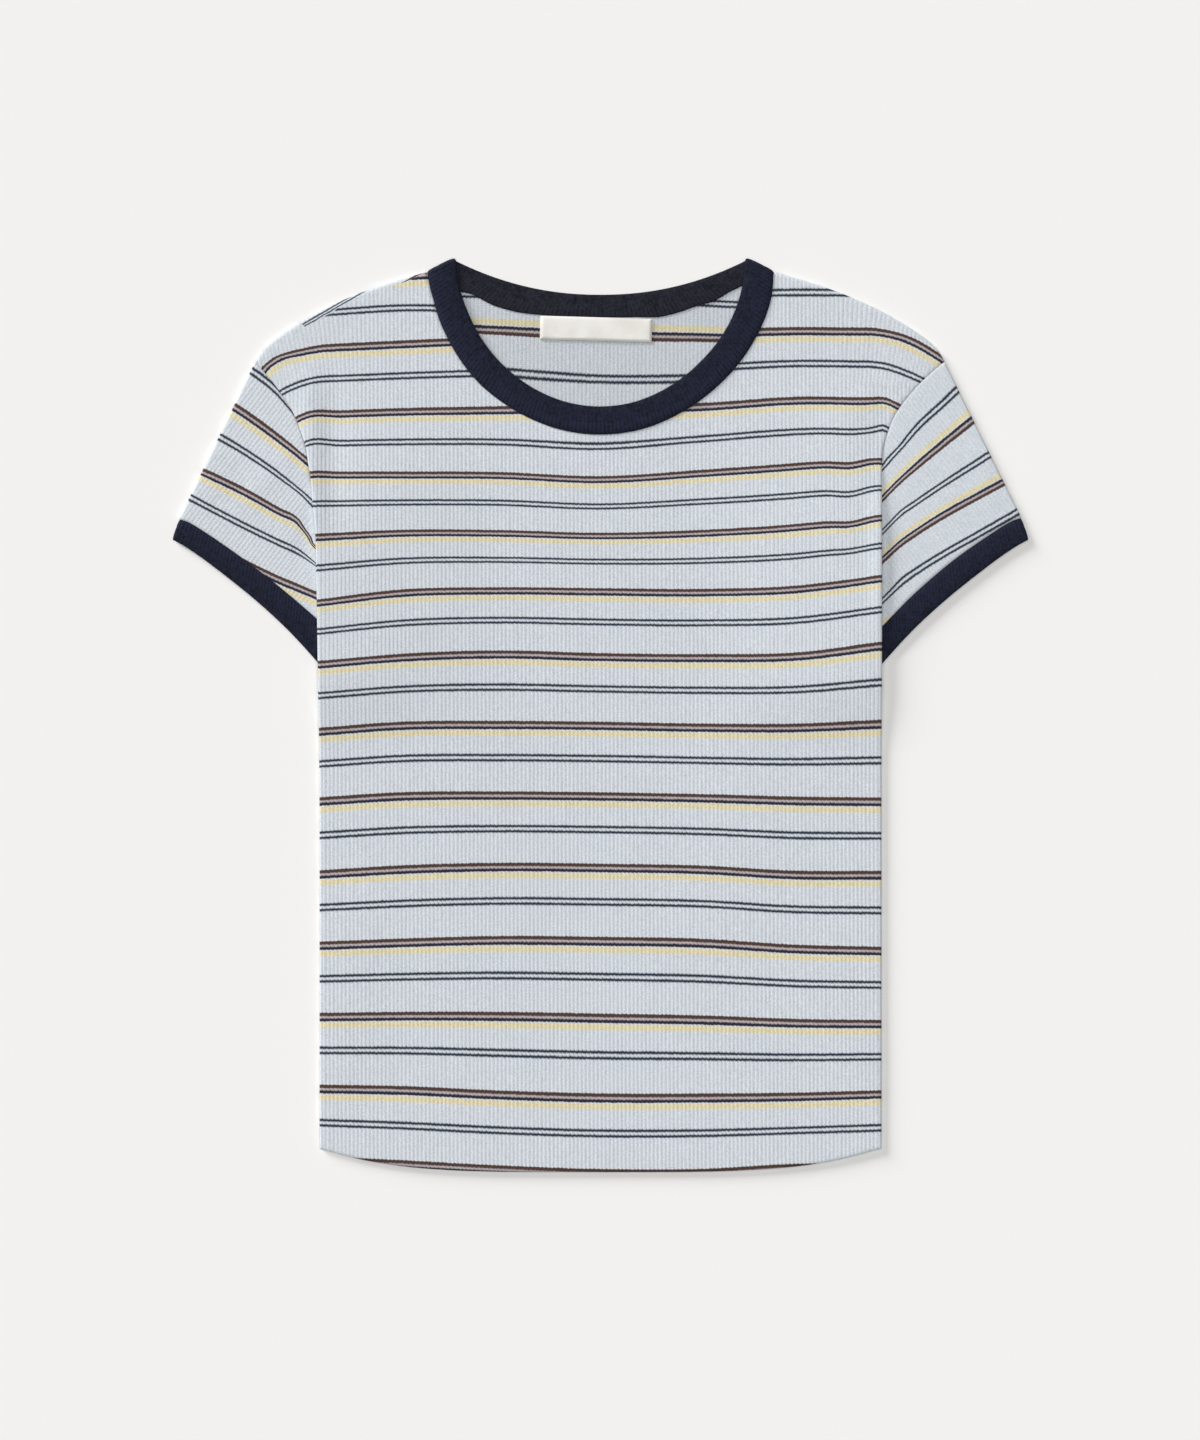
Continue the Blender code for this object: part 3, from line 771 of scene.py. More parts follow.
def striped_rib_knit(look):
    """Soft cotton rib jersey, yarn striped and brushed by wear.

    Matt, with a faint light fuzz, fine upright ribs with painted shade in their grooves, and
    stripes whose edges step from stitch to stitch.
    """
    material, tree, fields = new_material("striped_cotton_rib_knit", (
        "rib_across", "rib_along", "stretched", "roll", "repeats", "roll_repeats", "painted_shade_inside"))
    across, along, stretched, roll, repeats, roll_repeats, painted_shade_inside = fields
    groove, height = knit_surface(tree, across, along, RIB_PITCH, look.stitch)
    closed = add_node(tree, MATH, (1.0, stretched), operation="SUBTRACT")
    groove = add_node(tree, MATH, (groove, closed), operation="MULTIPLY")
    # Above the rolled shoulder seam the back's own stripes show.
    rolled = add_node(tree, MATH, (roll, 0.0), operation="GREATER_THAN")
    plain = add_node(tree, MATH, (1.0, rolled), operation="SUBTRACT")
    plain_part = add_node(tree, MATH, (repeats, plain), operation="MULTIPLY")
    rolled_part = add_node(tree, MATH, (roll_repeats, rolled), operation="MULTIPLY")
    place = add_node(tree, MATH, (plain_part, rolled_part), operation="ADD")
    # A stripe steps up a little on each rib, because its stitches bulge there.
    step = add_node(tree, MATH, (groove, look.stripe_step), operation="MULTIPLY")
    place = add_node(tree, MATH, (place, step), operation="ADD")
    wander = add_node(tree, MATH, (object_noise(tree, 2.4, 1.0), STRIPE_WANDER,
                                   FIRST_BAND - STRIPE_WANDER / 2), operation="MULTIPLY_ADD")
    place = add_node(tree, MATH, (place, wander), operation="ADD")
    place = add_node(tree, MATH, (place,), operation="FRACT")
    ramp = add_node(tree, "ShaderNodeValToRGB", {"Fac": place})
    paint_stripes(ramp.color_ramp, look)
    # Painted shade darkens the grooves, some more than others and not evenly along themselves.
    number = add_node(tree, MATH, (across, RIB_PITCH * METRES), operation="DIVIDE")
    number = add_node(tree, MATH, (number,), operation="FLOOR")
    stride = add_node(tree, MATH, (number, RIB_STRIDE), operation="MULTIPLY")
    grain = add_node(tree, MATH, (along, GROOVE_GRAIN * METRES), operation="DIVIDE")
    spot = add_node(tree, "ShaderNodeCombineXYZ", (stride, grain))
    uneven = add_node(tree, "ShaderNodeTexNoise", {"Vector": spot, "Scale": 1.0, "Detail": 2.0})
    depth = add_node(tree, MATH, (uneven, 0.22), operation="SUBTRACT", use_clamp=True)
    depth = add_node(tree, MATH, (depth, 4 * look.groove_painted_shade), operation="MULTIPLY")
    painted_groove_shade = add_node(tree, MATH, (groove, depth), operation="MULTIPLY")
    # Yarn is never quite even: single stitches and larger clouds differ in lightness.
    fleck = add_node(tree, MATH, (object_noise(tree, 0.9, 1.0), look.fleck, 1.0 - look.fleck / 2),
                     operation="MULTIPLY_ADD")
    cloud = add_node(tree, MATH, (object_noise(tree, 40.0, 3.0), 0.05, 0.975),
                     operation="MULTIPLY_ADD")
    shade = add_node(tree, MATH, (fleck, painted_groove_shade), operation="SUBTRACT")
    shade = add_node(tree, MATH, (shade, cloud), operation="MULTIPLY")
    # Painted shade: the back's inside is darkened for the shade of the neck opening, where the
    # neckband shades it.
    back_painted_shade = add_node(tree, MATH, (painted_shade_inside, look.inside_painted_shade), operation="MULTIPLY")
    after_painted_shade = add_node(tree, MATH, (1.0, back_painted_shade), operation="SUBTRACT")
    shade = add_node(tree, MATH, (shade, after_painted_shade), operation="MULTIPLY")
    colour = add_node(tree, VECTOR_MATH, {0: ramp, "Scale": shade}, operation="SCALE")
    add_surface(tree, {"Base Color": colour, "Roughness": 0.92, "Specular IOR Level": 0.2,
                       "Sheen Weight": 0.05, "Sheen Roughness": 0.6}, height)
    return material


def paint_stripes(ramp, look):
    """Set a colour ramp to one repeat of the stripes."""
    stops = [(0.0, look.cloth)]
    for start, end, name, soft in STRIPE_BANDS:
        colour = getattr(look, name)
        if FIRST_BAND + start - stops[-1][0] > 0.02:
            stops.append((FIRST_BAND + start - soft, look.cloth))
        stops.append((FIRST_BAND + start + soft, colour))
        stops.append((FIRST_BAND + end - soft, colour))
        if name in ("yellow", "thin"):
            stops.append((FIRST_BAND + end + soft, look.cloth))
    ramp.interpolation = "LINEAR"
    while len(ramp.elements) > 1:
        ramp.elements.remove(ramp.elements[-1])
    ramp.elements[0].position = stops[0][0]
    ramp.elements[0].color = (*stops[0][1], 1.0)
    for position, colour in stops[1:]:
        ramp.elements.new(position).color = (*colour, 1.0)


def navy_rib_knit(look):
    """Doubled cotton rib of the neckband and cuffs, piece dyed navy.

    Matt and almost black, mottled by wear, with painted light on its ribs and painted shade in
    its grooves, strongest beside the sewn edge where the ribs open and fading towards the fold.
    """
    material, tree, fields = new_material("navy_cotton_rib_knit", (
        "rib_across", "rib_along", "band_across", "worn_side"))
    across, along, from_seam, worn = fields
    groove, height = knit_surface(tree, across, along, look.pitch, look.stitch)
    # Painted light on the ribs and painted shade in the grooves, strongest beside the sewn edge
    # and fading towards the fold.
    painted_rib_shade_reach = add_node(tree, MATH, (1.0, from_seam), operation="SUBTRACT", use_clamp=True)
    painted_rib_shade_reach = add_node(tree, MATH, (painted_rib_shade_reach, 1.5), operation="POWER")
    crest = add_node(tree, MATH, (0.55, groove), operation="SUBTRACT")
    crest = add_node(tree, MATH, (crest, painted_rib_shade_reach), operation="MULTIPLY")
    crest = add_node(tree, MATH, (crest, look.rib_painted_shade), operation="MULTIPLY")
    mottle = add_node(tree, MATH, (object_noise(tree, 3.5, 4.0), 1.4, -0.2),
                      operation="MULTIPLY_ADD")
    fleck = add_node(tree, MATH, (object_noise(tree, 1.5, 1.0), 1.8, -0.9),
                     operation="MULTIPLY_ADD")
    mix = add_node(tree, MATH, (mottle, fleck), operation="ADD")
    mix = add_node(tree, MATH, (mix, crest), operation="ADD", use_clamp=True)
    # The back of the band shows the side worn next to the neck, which is duller.
    fresh = add_node(tree, MATH, (1.0, worn), operation="SUBTRACT")
    shown = []
    for light, share in ((look.colour, fresh), (look.inside, worn)):
        ramp = add_node(tree, "ShaderNodeValToRGB", {"Fac": mix})
        ramp.color_ramp.elements[0].color = (*look.deep, 1.0)
        ramp.color_ramp.elements[1].color = (*light, 1.0)
        shown.append(add_node(tree, VECTOR_MATH, {0: ramp, "Scale": share}, operation="SCALE"))
    colour = add_node(tree, VECTOR_MATH, shown, operation="ADD")
    add_surface(tree, {"Base Color": colour, "Roughness": 0.9, "Specular IOR Level": 0.15,
                       "Sheen Weight": 0.02, "Sheen Roughness": 0.5}, height)
    return material


def cream_woven_label(look):
    """Polyester label tape, tightly woven in satin and left plain.

    Cream with a slight silky sheen and threads too fine to see but for a faint grain.
    """
    material, tree, _ = new_material("cream_satin_label_tape")
    place = add_node(tree, "ShaderNodeTexCoord").outputs["Object"]
    parts = add_node(tree, "ShaderNodeSeparateXYZ", (place,)).outputs
    # Real threads are 0.1 mm apart; they are drawn 0.6 mm apart so that their grain shows.
    thread = 2 * math.pi / (0.6 * METRES)
    turns = [add_node(tree, MATH, (part, thread), operation="MULTIPLY") for part in parts[:2]]
    warp, weft = (add_node(tree, MATH, (turn,), operation="SINE") for turn in turns)
    warp = add_node(tree, MATH, (warp, 0.3, 0.7), operation="MULTIPLY_ADD")
    height = add_node(tree, MATH, (weft, warp), operation="MULTIPLY")
    ramp = add_node(tree, "ShaderNodeValToRGB", {"Fac": object_noise(tree, 9.0)})
    stops = ((0.2, look.shadow), (0.6, look.colour))
    for stop, (position, colour) in zip(ramp.color_ramp.elements, stops):
        stop.position = position
        stop.color = (*colour, 1.0)
    add_surface(tree, {"Base Color": ramp, "Roughness": 0.55, "Sheen Weight": 0.1},
                height, 0.4, 0.05)
    return material


def studio_floor(look):
    """Painted studio floor: matt, pale and almost even."""
    material, tree, _ = new_material("matt_studio_paint")
    add_surface(tree, {"Base Color": (*look.floor, 1.0), "Roughness": 1.0,
                       "Specular IOR Level": 0.0})
    return material


def striped_cloth(look):
    """Return the material that all four striped pieces share."""
    return bpy.data.materials.get("striped_cotton_rib_knit") or striped_rib_knit(look)


# ---------------------------------------------------------------- pieces

def finish_piece(name, cloth, fields, material, ribs=None):
    """Make one object from a piece of cloth, raise its ribs and return it."""
    mesh = bpy.data.meshes.new(name)
    mesh.from_pydata((np.array(cloth.points) * METRES).tolist(), [], cloth.faces)
    shape = bmesh.new()
    shape.from_mesh(mesh)
    bmesh.ops.recalc_face_normals(shape, faces=shape.faces)
    shape.to_mesh(mesh)
    shape.free()
    mesh.polygons.foreach_set("use_smooth", [True] * len(mesh.polygons))
    for field, values in fields.items():
        layer = mesh.attributes.new(field, "FLOAT", "POINT")
        layer.data.foreach_set("value", np.asarray(values, np.float32))
    mesh.materials.append(material)
    piece = bpy.data.objects.new(name, mesh)
    bpy.context.scene.collection.objects.link(piece)
    if ribs:
        raise_ribs(piece, *ribs, material)
    return piece


def declare(piece, node, flat):
    """Attach a piece to the body and hide the CAD part that it stands for; its cut's size, flat,
    is not used.
    """
    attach(piece, BODY)
    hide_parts(node)


def lift(x, y):
    """Return how high the body's side is lifted over the tucked sleeve."""
    rise = soft_step(LIFT_UP[0], LIFT_UP[1], y)
    fall = 1.0 - soft_step(LIFT_UP[2], LIFT_UP[3], y)
    return LIFT * soft_step(*LIFT_OUT, np.abs(x)) * np.minimum(rise, fall)


def edge_rounding(distance):
    """Return how far the cloth's face drops beside its edge."""
    reach, depth = EDGE_ROUND
    return depth * np.clip(1.0 - distance / reach, 0.0, 1.0) ** 2


def body_half(side):
    """Return one side of the body's outline, from the hem up to the neck corner."""
    armhole = side_line(ARMHOLE, side)
    shoulder = smooth_curve([armhole[-1], *SHOULDER, neck_corner()])
    return mirrored(side_line(SIDE_EDGE[:-1], side) + armhole + shoulder[1:], side)


def fold_directions():
    """Return the way along the neckband's fold on the left shoulder, and the way it points."""
    fold = (Vector(FOLD_SEAM) - Vector(FOLD_FREE)).normalized()
    return fold, Vector((-fold.y, fold.x))


def neck_corner():
    """Return the panels' corner beside the neckband's fold, on the left shoulder."""
    fold, outward = fold_directions()
    bulge = BAND_WALL + LAYER_GAP / 2
    return Vector(FOLD_SEAM) + fold * SEAM_GAP + outward * (bulge - SEAM_GAP)


def hem():
    """Return the hem from the right side seam to the left one."""
    points = []
    for step in range(1, HEM_STEPS):
        out = HEM_HALF * (2 * step / HEM_STEPS - 1)
        points.append(Vector((out, HEM_UP + HEM_RISE * abs(out / HEM_HALF) ** HEM_POWER)))
    return points


def body_outline(neck):
    """Return the body's outline, anticlockwise from the hem, round the given neck edge."""
    return hem() + body_half("left") + neck + body_half("right")[::-1]


def panel_size(outline):
    """Return the width and the height of a panel's cut, in millimetres."""
    return 2 * ARMHOLE[-1][1], extent(point.y for point in outline)


def front_seam_line():
    """Return the neckband's sewn edge across the front, from left to right."""
    return strayed(neck_scoop(*FOLD_SEAM, *FRONT_SEAM), FRONT_SEAM_STRAY, -1)


def back_seam_line():
    """Return the neckband's sewn edge across the back, from right to left."""
    return strayed(neck_dip(*FOLD_SEAM, *BACK_SEAM), BACK_SEAM_STRAY)


# Soft troughs and ridges of the laid cloth: from, to, half width, height, in millimetres
FRONT_WAVES = (
    ((-163.5, 188.0), (-160.0, 98.0), 8.0, 1.3),
    ((-150.5, 188.0), (-148.0, 104.0), 9.0, -0.9),
    ((157.0, 180.0), (155.0, 112.0), 14.0, -1.0),
    ((155.5, 124.0), (156.0, 46.0), 5.0, 1.1),
    ((-170.0, 196.0), (-120.0, 168.0), 9.0, 0.3),
    ((172.0, 196.0), (128.0, 160.0), 9.0, 0.3),
    ((-95.0, 120.0), (-60.0, -40.0), 26.0, 0.4),
    ((100.0, 60.0), (70.0, -140.0), 30.0, 0.4),
    ((-40.0, -60.0), (10.0, -235.0), 30.0, -0.4),
    ((120.0, -120.0), (150.0, -225.0), 18.0, 0.4),
    ((-130.0, -90.0), (-148.0, -220.0), 16.0, 0.4),
)
SLEEVE_WAVES = {
    "right": (
        ((-172.0, 150.0), (-205.0, 112.0), 8.0, 0.4),
        ((-163.0, 120.0), (-168.0, 80.0), 5.0, -0.4),
        ((-212.0, 150.0), (-220.0, 118.0), 9.0, 0.4),
    ),
    "left": (
        ((170.0, 148.0), (206.0, 108.0), 8.0, 0.4),
        ((160.0, 108.0), (160.5, 52.0), 6.5, -0.75),
        ((210.0, 158.0), (222.0, 120.0), 9.0, 0.4),
    ),
}


def waves(table, x, y):
    """Return the height of the soft troughs and ridges at each point."""
    total = np.zeros(len(x))
    for (x0, y0), (x1, y1), half, height in table:
        along = np.clip(((x - x0) * (x1 - x0) + (y - y0) * (y1 - y0))
                        / ((x1 - x0) ** 2 + (y1 - y0) ** 2), 0.0, 1.0)
        away = np.hypot(x - x0 - along * (x1 - x0), y - y0 - along * (y1 - y0))
        ends = np.sin(math.pi * np.clip(along, 0.02, 0.98)) ** 0.5
        total += height * ends * np.exp(-(away / half) ** 2)
    return total


def front(look):
    """Make the front: ribbed outside, plain inside, stripes from its own table."""
    outline = body_outline(moved_right(front_seam_line(), -SEWN_GAP))
    closed = outline + outline[:1]
    cut, chords = rib_lines([closed], 0.0, rows_along)

    def outside(x, y):
        rounding = edge_rounding(distance_to(closed, x, y))
        return TOP_LAYER_FACE + lift(x, y) + waves(FRONT_WAVES, x, y) - rounding

    def lining(x, y):
        ridges = np.maximum(waves(FRONT_WAVES, x, y), 0.0)
        return TOP_LAYER_UNDERSIDE + lift(x, y) + LINING_SHARE * ridges

    cloth = Cloth()
    top, = cloth.skin(cut, chords, outside, 1.0)
    bottom, = cloth.skin(cut, [], lining, 0.0, even_grid(outline, UNDERSIDE_STEP))
    cloth.zip(bottom, top)
    x, y = cloth.xy()
    away = distance_to(closed, x, y)
    fan = soft_step(*FAN_OUT, np.abs(x)) * np.maximum(0.0, y - FAN_UP) * FAN * np.sign(x)
    fields = {
        "rib_across": (x - fan) * METRES,
        "rib_along": y * METRES,
        "rib_weight": np.array(cloth.ribbed) * np.clip(away / RIB_EDGE_FADE, 0.0, 1.0),
        "repeats": stripe_repeats("front", x, y + armhole_bend(x, y)),
        "roll": above_rolled_seam(x, y) * METRES,
        "roll_repeats": np.interp(y - ROLLED_SLOPE * x, *zip(*ROLLED_STRIPES)),
    }
    piece = finish_piece("front_panel", cloth, fields, striped_cloth(look),
                         (RIB_PITCH, look.relief, look.unevenness))
    declare(piece, "front", panel_size(outline))


def back(look):
    """Make the back: its inside shows through the neck, with ribs there, and it lies flat."""
    outline = body_outline(moved_right(back_seam_line(), SEWN_GAP)[::-1])
    closed = outline + outline[:1]
    window_out, window_up = NECK_WINDOW

    def window_rows(out, low, high):
        if abs(out) > window_out:
            return []
        return [up for up in rows_along(out, low, high, WINDOW_ROW_STEP) if up > window_up]

    cut, chords = rib_lines([closed], 0.0, window_rows)
    chords = [(start, points, end) for start, points, end in chords if points]
    grid = even_grid(outline, UNDERSIDE_STEP)
    beside = [p for p in grid if abs(p.x) > window_out + 2]

    def inside_face(x, y):
        rounding = edge_rounding(distance_to(closed, x, y)) * BACK_EDGE_SHARE
        return BACK_FACE + lift(x, y) - rounding

    cloth = Cloth()
    top, = cloth.skin(cut, chords, inside_face, 1.0, beside)
    bottom, = cloth.skin(cut, [], lift, 0.0, grid)
    cloth.zip(bottom, top)
    x, y = cloth.xy()
    shown = (soft_step(window_up, window_up + WINDOW_FADE, y)
             * (1 - soft_step(window_out - WINDOW_FADE, window_out, np.abs(x))))
    fields = {
        "rib_across": x * METRES,
        "rib_along": y * METRES,
        "rib_weight": np.array(cloth.ribbed) * shown,
        "repeats": stripe_repeats("back", x, y) + WHOLE_REPEATS,
        # Painted shade: the whole inside of the back is marked to be painted darker.
        "painted_shade_inside": np.ones(len(x)),
    }
    piece = finish_piece("back_panel", cloth, fields, striped_cloth(look),
                         (RIB_PITCH, look.back_relief, look.unevenness))
    declare(piece, "back", panel_size(outline))


def cuff_seam_line(side):
    """Return the line where a sleeve and its cuff meet, drawn on the left side."""
    return strayed(smooth_curve(CUFF_SEAM), CUFF_SEAM_STRAY[side])


def sleeve_runs(side):
    """Return the four edges of a sleeve: armhole, inner fold, cuff seam and outer fold."""
    armhole = moved_right(side_line(ARMHOLE[::-1], side), -SEWN_GAP)
    fold_top = Vector((half_width(TUCK_UP, side) - TUCK, TUCK_UP))
    cuff_seam = cuff_seam_line(side)
    runs = [armhole + [fold_top], [fold_top, cuff_seam[0]], cuff_seam, [cuff_seam[-1], armhole[0]]]
    return [mirrored(run, side) for run in runs]


def rounded_runs(runs, inset):
    """Return a sleeve's edges with both folds moved in by about the inset."""
    armhole = trimmed(runs[0], inset)
    cuff = trimmed(runs[2], inset)
    return [armhole, [armhole[-1], cuff[0]], cuff, [cuff[-1], armhole[0]]]


# How far a sleeve's face drops at the armhole and at the cuff, as shares of EDGE_ROUND
SLEEVE_SEAM_DIPS = {"right": (1.0, 1.0), "left": (0.25, 1.0)}


def sleeve(side, look):
    """Make one sleeve: a tube of cloth pressed flat, with ribs on its upper face."""
    name = f"sleeve_{side}"
    slant = SIDES[side] * SLEEVE_RIB_SLANT
    across, along = rib_directions(slant)
    outline = sleeve_runs(side)
    edge = half_width(TUCK_UP, side)
    face = rounded_runs(outline, SLEEVE_FOLD_ROUND)
    hollow = rounded_runs(outline, WALL + SLEEVE_FOLD_ROUND / 2)
    cut, chords = rib_lines(face, slant, rows_along)

    def outside(x, y):
        seam_dip = sum(share * edge_rounding(distance_to(seam, x, y))
                       for share, seam in zip(SLEEVE_SEAM_DIPS[side], (face[0], face[2])))
        past_body = soft_step(edge + PAST_BODY[0], edge + PAST_BODY[1], np.abs(x))
        return TOP_LAYER_FACE + waves(SLEEVE_WAVES[side], x, y) * past_body - seam_dip

    cloth = Cloth()
    loop = [point for run in face for point in run[:-1]]
    top = cloth.skin(cut, chords, outside, 1.0)
    ceiling = cloth.skin(hollow, [], lambda x, y: np.full(len(x), TOP_LAYER_UNDERSIDE))
    floor = cloth.skin(hollow, [], lambda x, y: np.full(len(x), WALL))
    bottom = cloth.skin(face, [], lambda x, y: np.zeros(len(x)), 0.0,
                        even_grid(loop, UNDERSIDE_STEP))
    for opening in (0, 2):
        cloth.zip(ceiling[opening], top[opening])
        cloth.zip(bottom[opening], floor[opening])
    for fold in (1, 3):
        rings = [top[fold]]
        starts, ends = (evenly_spaced(runs[fold], FOLD_POINTS) for runs in (face, outline))
        for turn in FOLD_TURNS:
            share = math.sin(math.radians(turn))
            level = TOP_LAYER_FACE / 2 * (1 + math.cos(math.radians(turn)))
            rings.append(cloth.add((*a.lerp(b, share), level) for a, b in zip(starts, ends)))
        rings.append(bottom[fold])
        for ring, after in zip(rings, rings[1:]):
            cloth.zip(after, ring)
        cloth.zip(floor[fold], ceiling[fold])
        for end in (0, -1):
            cloth.faces.append(tuple(ring[end] for ring in rings)
                               + (floor[fold][end], ceiling[fold][end]))
    x, y = cloth.xy()
    fade = soft_step(edge + RIB_FADE_OUT[0], edge + RIB_FADE_OUT[1], np.abs(x))
    away = distance_to(loop + loop[:1], x, y)
    fields = {
        "rib_across": (x * across.x + y * across.y) * METRES,
        "rib_along": (x * along.x + y * along.y) * METRES,
        "rib_weight": np.array(cloth.ribbed) * fade * np.clip(away / RIB_EDGE_FADE, 0.0, 1.0),
        "repeats": stripe_repeats(name, x, y) + WHOLE_REPEATS,
        "stretched": np.full(len(x), SLEEVE_STRETCH),
    }
    piece = finish_piece(f"{name}_cloth", cloth, fields, striped_cloth(look),
                         (RIB_PITCH, look.sleeve_relief, look.unevenness))
    wide, long = (extent(point.dot(way) for point in loop) for way in (across, along))
    declare(piece, name, (2 * wide, long))


# Round a band from its sewn edge over its face to its folded edge, and back underneath:
# how far across the band, and how far above or below its middle in half walls
BAND_PROFILE = (
    (0.0, -0.2), (0.02, 0.15), (0.07, 0.5), (0.15, 0.78), (0.26, 0.93), (0.34, 0.92),
    (0.39, 0.82), (0.44, 0.94), (0.56, 1.0), (0.72, 0.98),
    (0.85, 0.86), (0.94, 0.6), (0.985, 0.28), (1.0, 0.0), (0.985, -0.4), (0.93, -0.85),
    (0.8, -1.0), (0.4, -1.0), (0.06, -1.0), (0.0, -0.7),
)


def band_section(seam, free, normal, centre, wall):
    """Return the points round a band, from its seam edge over the fold and back."""
    middle = Vector((0.0, 0.0, centre))
    return [seam.lerp(free, across) + middle + normal * (wall / 2 * up)
            for across, up in BAND_PROFILE]


def half_turn(seam, free, outward, levels, wall, steps=16):
    """Return a band's sections round a fold, from the upper level to the lower one."""
    radius = (levels[0] - levels[1]) / 2
    sections = []
    for step in range(1, steps):
        angle = math.pi * step / steps
        normal = Vector((0, 0, 1)) * math.cos(angle) + outward * math.sin(angle)
        shift = normal * radius
        sections.append(band_section(seam + shift, free + shift, normal, sum(levels) / 2, wall))
    return sections


def flat_sections(seam, free, level, wall, facing):
    """Return a band's sections along a flat stretch."""
    normal = Vector((0, 0, facing))
    return [band_section(s, f, normal, level, wall) for s, f in zip(seam, free)]


def raised(points):
    """Return flat points as points in space, at height 0."""
    return [point.to_3d() for point in points]


def make_band(name, node, sections, rib_weights, inside_part, look):
    """Make and declare a closed band from the sections that follow each other round it.

    The sections from the first to the last number of inside_part show the band's inside.
    """
    cloth = Cloth()
    rings = [cloth.add(section) for section in sections]
    for ring, after in zip(rings, rings[1:] + rings[:1]):
        for corner in range(len(ring)):
            other = (corner + 1) % len(ring)
            cloth.faces.append((ring[corner], ring[other], after[other], after[corner]))
    middles = [sum(section, Vector()) / len(section) for section in sections]
    around = lengths_along(middles)
    whole = around[-1] + (middles[0] - middles[-1]).length
    count = max(1, round(whole / look.pitch))
    fold = BAND_PROFILE.index((1.0, 0.0))
    widths = [(section[fold] - section[0]).length for section in sections]
    points = len(BAND_PROFILE)
    least_across, least_up = BAND_RIBS_FROM
    shown = [1.0 - BAND_RIB_FALL * across if across > least_across and up > least_up else 0.0
             for across, up in BAND_PROFILE]
    numbers = np.arange(len(sections))
    worn = (numbers >= inside_part[0]) & (numbers < inside_part[1])
    fields = {
        "worn_side": np.repeat(worn, points),
        "rib_across": np.repeat(np.array(around) * count * look.pitch / whole, points) * METRES,
        "rib_along": np.array([width * across for width in widths
                               for across, _ in BAND_PROFILE]) * METRES,
        "band_across": np.tile([across for across, _ in BAND_PROFILE], len(sections)),
        "rib_weight": np.repeat(rib_weights, points) * np.tile(shown, len(sections)),
    }
    material = bpy.data.materials.get("navy_cotton_rib_knit") or navy_rib_knit(look)
    piece = finish_piece(name, cloth, fields, material,
                         (look.pitch, look.relief, BAND_UNEVENNESS))
    width = sum(widths) / len(widths)
    declare(piece, node, (whole, width))


def neckband(look):
    """Make the neckband: a ring that folds over at each shoulder."""
    front_free = strayed(neck_scoop(*FOLD_FREE, *FRONT_FREE), FRONT_FREE_STRAY, -1)
    back_free = neck_dip(*FOLD_FREE, *BACK_FREE)
    step = look.pitch / RIB_POINTS
    front_count = round(lengths_along(front_seam_line())[-1] / step)
    back_count = round(lengths_along(back_seam_line())[-1] / step)
    over = [raised(evenly_spaced(line, front_count)) for line in (front_seam_line(), front_free)]
    under = [raised(evenly_spaced(line, back_count)) for line in (back_seam_line(), back_free)]
    levels = (FRONT_BAND_UNDERSIDE + BAND_WALL / 2, BAND_WALL / 2)
    left_out = fold_directions()[1].to_3d()
    right_out = Vector((-left_out.x, left_out.y, 0.0))
    turn = half_turn(over[0][-1], over[1][-1], right_out, levels, BAND_WALL)
    back_part = flat_sections(*under, levels[1], BAND_WALL, -1)
    turn_back = half_turn(over[0][0], over[1][0], left_out, levels, BAND_WALL)[::-1]
    sections = flat_sections(*over, levels[0], BAND_WALL, 1) + turn + back_part + turn_back
    weights = ([1.0] * (len(over[0]) + len(turn)) + [BAND_BACK_RIBS] * len(back_part)
               + [1.0] * len(turn_back))
    inside_part = (len(over[0]) + len(turn) // 2, len(sections) - len(turn_back) // 2)
    make_band("neckband_rib", "neckband", sections, weights, inside_part, look)


def cuff(side, look):
    """Make one cuff: a ring pressed flat, sewn to the end of the sleeve."""
    levels = (CUFF_WALL * 1.5 + SEAM_GAP, CUFF_WALL / 2)
    bulge = (levels[0] - levels[1] + CUFF_WALL) / 2
    seam, free = (mirrored(trimmed(line, bulge), side)
                  for line in (moved_right(cuff_seam_line(side), SEWN_GAP),
                               moved_right(smooth_curve(CUFF_FREE), CUFF_FREE_STRAY)))
    count = round(lengths_along(seam)[-1] * RIB_POINTS / look.pitch)
    above = [raised(evenly_spaced(line, count)) for line in (seam, free)]
    below = [raised(evenly_spaced(line, FOLD_POINTS))[::-1] for line in (seam, free)]
    outer = (above[0][-1] - above[0][-2]).normalized()
    inner = (above[0][0] - above[0][1]).normalized()
    edge = half_width(CUFF_SEAM[0][1], side)
    turn = half_turn(above[0][-1], above[1][-1], outer, levels, CUFF_WALL)
    turn_back = half_turn(above[0][0], above[1][0], inner, levels, CUFF_WALL)[::-1]
    sections = (flat_sections(*above, levels[0], CUFF_WALL, 1) + turn
                + flat_sections(*below, levels[1], CUFF_WALL, -1) + turn_back)
    fades = [between(edge + RIB_FADE_OUT[0], edge + RIB_FADE_OUT[1], abs(p.x)) for p in above[0]]
    weights = fades + [0.0] * (len(sections) - len(fades))
    make_band(f"cuff_{side}_rib", f"cuff_{side}", sections, weights, (0, 0), look)


